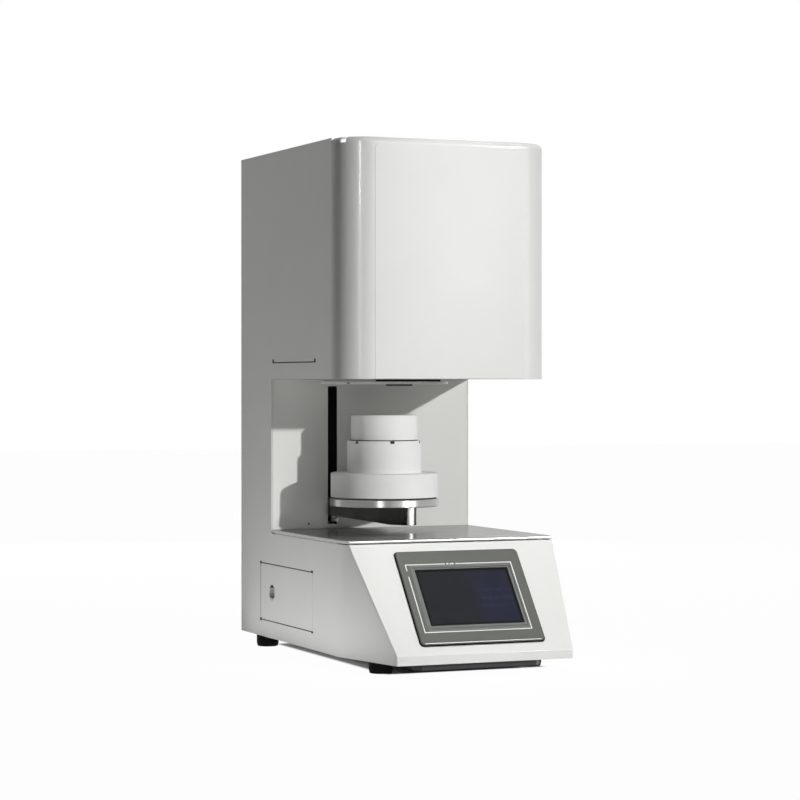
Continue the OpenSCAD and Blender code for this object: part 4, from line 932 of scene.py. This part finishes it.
def rubber_feet():
    front = (126.0 * MM, -190.0 * MM)
    rear = (150.0 * MM, 247.0 * MM)
    r = 18.5 * MM
    tread_r = r - 1.5 * MM
    draft_z = 6 * MM
    pocket = (7 * MM, 5 * MM)
    high = BASE_LOW.z
    profile = rounded_corners(
        [pocket, (pocket[0], 0), (tread_r, 0), (r, draft_z), (r, high), (0, high), (0, pocket[1])],
        [0.3 * MM, 0.6 * MM, 1.4 * MM, 2 * MM, 0.6 * MM, 0, 0], 4, True)
    places = (front, (-front[0], front[1]), rear, (-rear[0], rear[1]))
    feet = [lathe(f"rubber_foot_{i}", profile, Vector((*place, 0)), 64) for i, place in enumerate(places)]
    for foot in feet:
        dress(foot, "housing", "rubber")
    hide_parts("rubber_feet")


# Carried-over nodes: how far their edges are rounded, in millimetres, where it isn't the default

EDGE = {
    "left_side_panel": 0.5, "right_side_panel": 0.5, "base_front_panel": 0.6, "access_door": 0.35,
    "crucible": 0.8, "lift_arm": 1.0, "mouth_ring": 0.4, "base_tray": 0.5, "door_pull": 0.5,
    "heating_elements": 0.2, "insulation_wall": 1.0, "insulation_roof": 1.0, "switch_rocker": 0.5,
    "breaker_lever": 0.5, "rear_cover_screws": 0.15, "top_cover_screws": 0.15, "fan_guard": 0.0,
    "power_controller": 0.0, "transformer": 0.0,
}
DEFAULT_EDGE = 0.3

# Nodes whose look differs from their slot's: the plate behind the lift slot is painted black, as painted
# shade seen through the slot
LOOKS = {"lift_back_plate": "motor_black"}


def carried_over():
    slots = {part["node"]: part["material_slot"] for part in frame["record"]["subparts"]}
    for name, made in NODES.items():
        made.data.materials.clear()
        made.data.materials.append(MATERIALS[LOOKS.get(name, slots[name])])
        custom = made.data.attributes.get("custom_normal")
        if custom:
            made.data.attributes.remove(custom)
        made.data.shade_smooth()
        width = EDGE.get(name, DEFAULT_EDGE) * MM
        if width > 0:
            soften(made, width, weld=True)


head_front_cover()
deck_plate()
platform_disc()
plug_felt()
insulating_plug()
crucible_cover()
touch_bezel()
panel_lines()
display_glass()
head_front_plate()
crucible_details()
door_gap_shades()
slit_shade_pieces()
mouth_details()
rubber_feet()
carried_over()


# Studio

MIDDLE = Vector((0, 0, 0.42))
LAMPS_AWAY = 2.6

# Floor under the base, which shows its shadow in full: left, right, front and rear limits, and their fade
UNDER = (-126.0 * MM, 140.0 * MM, -215.0 * MM, 270.0 * MM)
UNDER_FADE = 6.0 * MM

# Turns, in degrees to the right of the front, of the card and lamps that show as reflections
DARK_FROM = -128.0
DARK_TO = -8.0
LEFT_LINE_TURN = -31.5
RIGHT_LINE_TURN = 41.6


def toward(turn, away=LAMPS_AWAY, height=MIDDLE.z):
    """Place at the given turn, in degrees to the right of the front, and distance from the middle."""
    angle = math.radians(turn)
    return Vector((math.sin(angle) * away, -math.cos(angle) * away, height))


def stage_material(name, colour, keep_shadow):
    """Pale stage that shows as plain white, with the shadow kept faintly, and in full under the base."""
    material = bpy.data.materials.new(name)
    material.use_nodes = True
    s = Nodes(material.node_tree)
    s.tree.nodes.clear()
    matt = s.node("ShaderNodeBsdfDiffuse")
    matt.inputs["Color"].default_value = (*colour, 1)
    glow = s.node("ShaderNodeEmission")
    glow.inputs["Color"].default_value = (1, 1, 1, 1)
    glow.inputs["Strength"].default_value = 1.0
    place = s.separate(s.node("ShaderNodeTexCoord").outputs["Object"])
    under = None
    for i, edge in enumerate(UNDER):
        axis = i // 2
        fade = -UNDER_FADE if i % 2 else UNDER_FADE
        ramp = s.spread(place[axis], edge - fade, edge + fade, smooth=True)
        under = ramp if under is None else s.math("MULTIPLY", under, ramp)
    mix = s.node("ShaderNodeMixShader")
    s.link(s.math("MULTIPLY", s.seen(), s.spread(under, 0, 1, 1 - keep_shadow, 0)), mix.inputs[0])
    s.link(matt.outputs[0], mix.inputs[1])
    s.link(glow.outputs[0], mix.inputs[2])
    s.link(mix.outputs[0], s.node("ShaderNodeOutputMaterial").inputs["Surface"])
    return material


def stage():
    size = 12.0
    points = [(-size, -size, 0), (size, -size, 0), (size, size, 0), (-size, size, 0)]
    floor = add_mesh("studio_floor", points, [(0, 1, 2, 3)], False)
    floor.data.materials.append(stage_material("studio_floor", (0.80, 0.80, 0.80), 0.02))


def dark_card():
    """Black curved card round the left, seen only in reflections, so that bare metal shows dark bands."""
    away = 4.6
    heights = (0.02, 2.4)
    steps = 24
    turns = [DARK_FROM + (DARK_TO - DARK_FROM) * i / steps for i in range(steps + 1)]
    points = [toward(turn, away, z) for turn in turns for z in heights]
    faces = [(2 * i, 2 * i + 2, 2 * i + 3, 2 * i + 1) for i in range(steps)]
    card = add_mesh("studio_dark_card", points, faces)
    material = bpy.data.materials.new("studio_dark_card")
    material.use_nodes = True
    matt = material.node_tree.nodes["Principled BSDF"]
    matt.inputs["Base Color"].default_value = (0.01, 0.01, 0.01, 1)
    matt.inputs["Specular IOR Level"].default_value = 0.0
    card.data.materials.append(material)
    card.visible_camera = False
    card.visible_diffuse = False
    card.visible_shadow = False


def studio_world():
    """Even pale surroundings: white to the camera and in reflections, dimmer as a light."""
    fill = 0.03
    world = bpy.data.worlds.new("studio")
    bpy.context.scene.world = world
    world.use_nodes = True
    s = Nodes(world.node_tree)
    back = s.tree.nodes["Background"]
    back.inputs["Color"].default_value = (1, 1, 1, 1)
    s.link(s.spread(s.seen(), 0, 1, fill, 1), back.inputs["Strength"])


def lamp_object(lamp, place=(0, 0, 0)):
    made = bpy.data.objects.new(lamp.name, lamp)
    bpy.context.scene.collection.objects.link(made)
    made.location = place
    return made


def look_at(made, aim):
    made.rotation_euler = (Vector(aim) - made.location).to_track_quat("-Z", "Y").to_euler()


def area(name, place, aim, size, radiance, hidden=("glossy",)):
    """Rectangular lamp whose face has the given brightness, aimed at a point, hidden from some rays."""
    lamp = bpy.data.lights.new(name, "AREA")
    lamp.shape = "RECTANGLE"
    lamp.size, lamp.size_y = size
    lamp.energy = radiance * math.pi * size[0] * size[1]
    made = lamp_object(lamp, place)
    look_at(made, aim)
    for kind in hidden:
        setattr(made, "visible_" + kind, False)


def sun(name, way, irradiance, width):
    """Distant hard lamp: way points from the object to it, width is its size in degrees."""
    lamp = bpy.data.lights.new(name, "SUN")
    lamp.energy = irradiance
    lamp.angle = math.radians(width)
    lamp_object(lamp).rotation_euler = Vector(way).to_track_quat("Z", "Y").to_euler()


def spot(name, place, aim, irradiance, reach, blend, size):
    """Round lamp that lights a pool round its aim, of radius reach in metres, with the given irradiance."""
    lamp = bpy.data.lights.new(name, "SPOT")
    away = (Vector(aim) - Vector(place)).length
    lamp.energy = irradiance * away ** 2 * 4 * math.pi
    lamp.spot_size = 2 * math.atan(reach / away)
    lamp.spot_blend = blend
    lamp.shadow_soft_size = size
    look_at(lamp_object(lamp, place), aim)


def lights():
    """Hard key from the right front, pools on face and top, soft fills, and lines that show reflected."""
    sun("key", way=(0.5, -1.0, 0.26), irradiance=1.88, width=1.5)
    spot("face_spot", (0.05, -0.80, 2.2), (0.03, -0.20, 0.16),
         irradiance=2.15, reach=0.36, blend=0.7, size=0.12)
    spot("top_spot", (0.25, -1.70, 1.5), (0.02, -0.168, 0.88),
         irradiance=0.45, reach=0.36, blend=1.0, size=0.10)
    card = Vector((-0.32, -0.08, 0.012))
    area("floor_card", card, card + Vector((0, 0, 1)), (0.24, 0.70), 1.25, ("camera", "glossy"))
    area("left_fill", toward(-42, height=0.05), (0, 0, 0.25), (0.22, 1.6), 3.8)
    area("back_fill", toward(165, 2.8, 0.9), MIDDLE, (1.4, 1.6), 6.0)
    line = ("diffuse",)
    area("left_line", toward(LEFT_LINE_TURN, height=1.05), MIDDLE, (0.24, 1.3), 11.0, line)
    area("left_line_high", toward(LEFT_LINE_TURN, height=1.10), (0, 0, 0.8), (0.20, 0.45), 45.0, line)
    area("right_line", toward(RIGHT_LINE_TURN), MIDDLE, (0.20, 2.4), 11.0, line)


def camera():
    """The photograph's view: from the left front, nearly level."""
    turn = 23.05
    drop = 0.41
    data = bpy.data.cameras.new("camera")
    data.lens = 111.67
    data.sensor_width = 36.0
    made = bpy.data.objects.new("camera", data)
    bpy.context.scene.collection.objects.link(made)
    made.location = (-1.5795, -3.68105, 0.44317)
    made.rotation_euler = (math.radians(90 - drop), 0, -math.radians(turn))
    bpy.context.scene.camera = made


stage()
dark_card()
studio_world()
lights()
camera()
bpy.context.scene.view_settings.view_transform = "Standard"
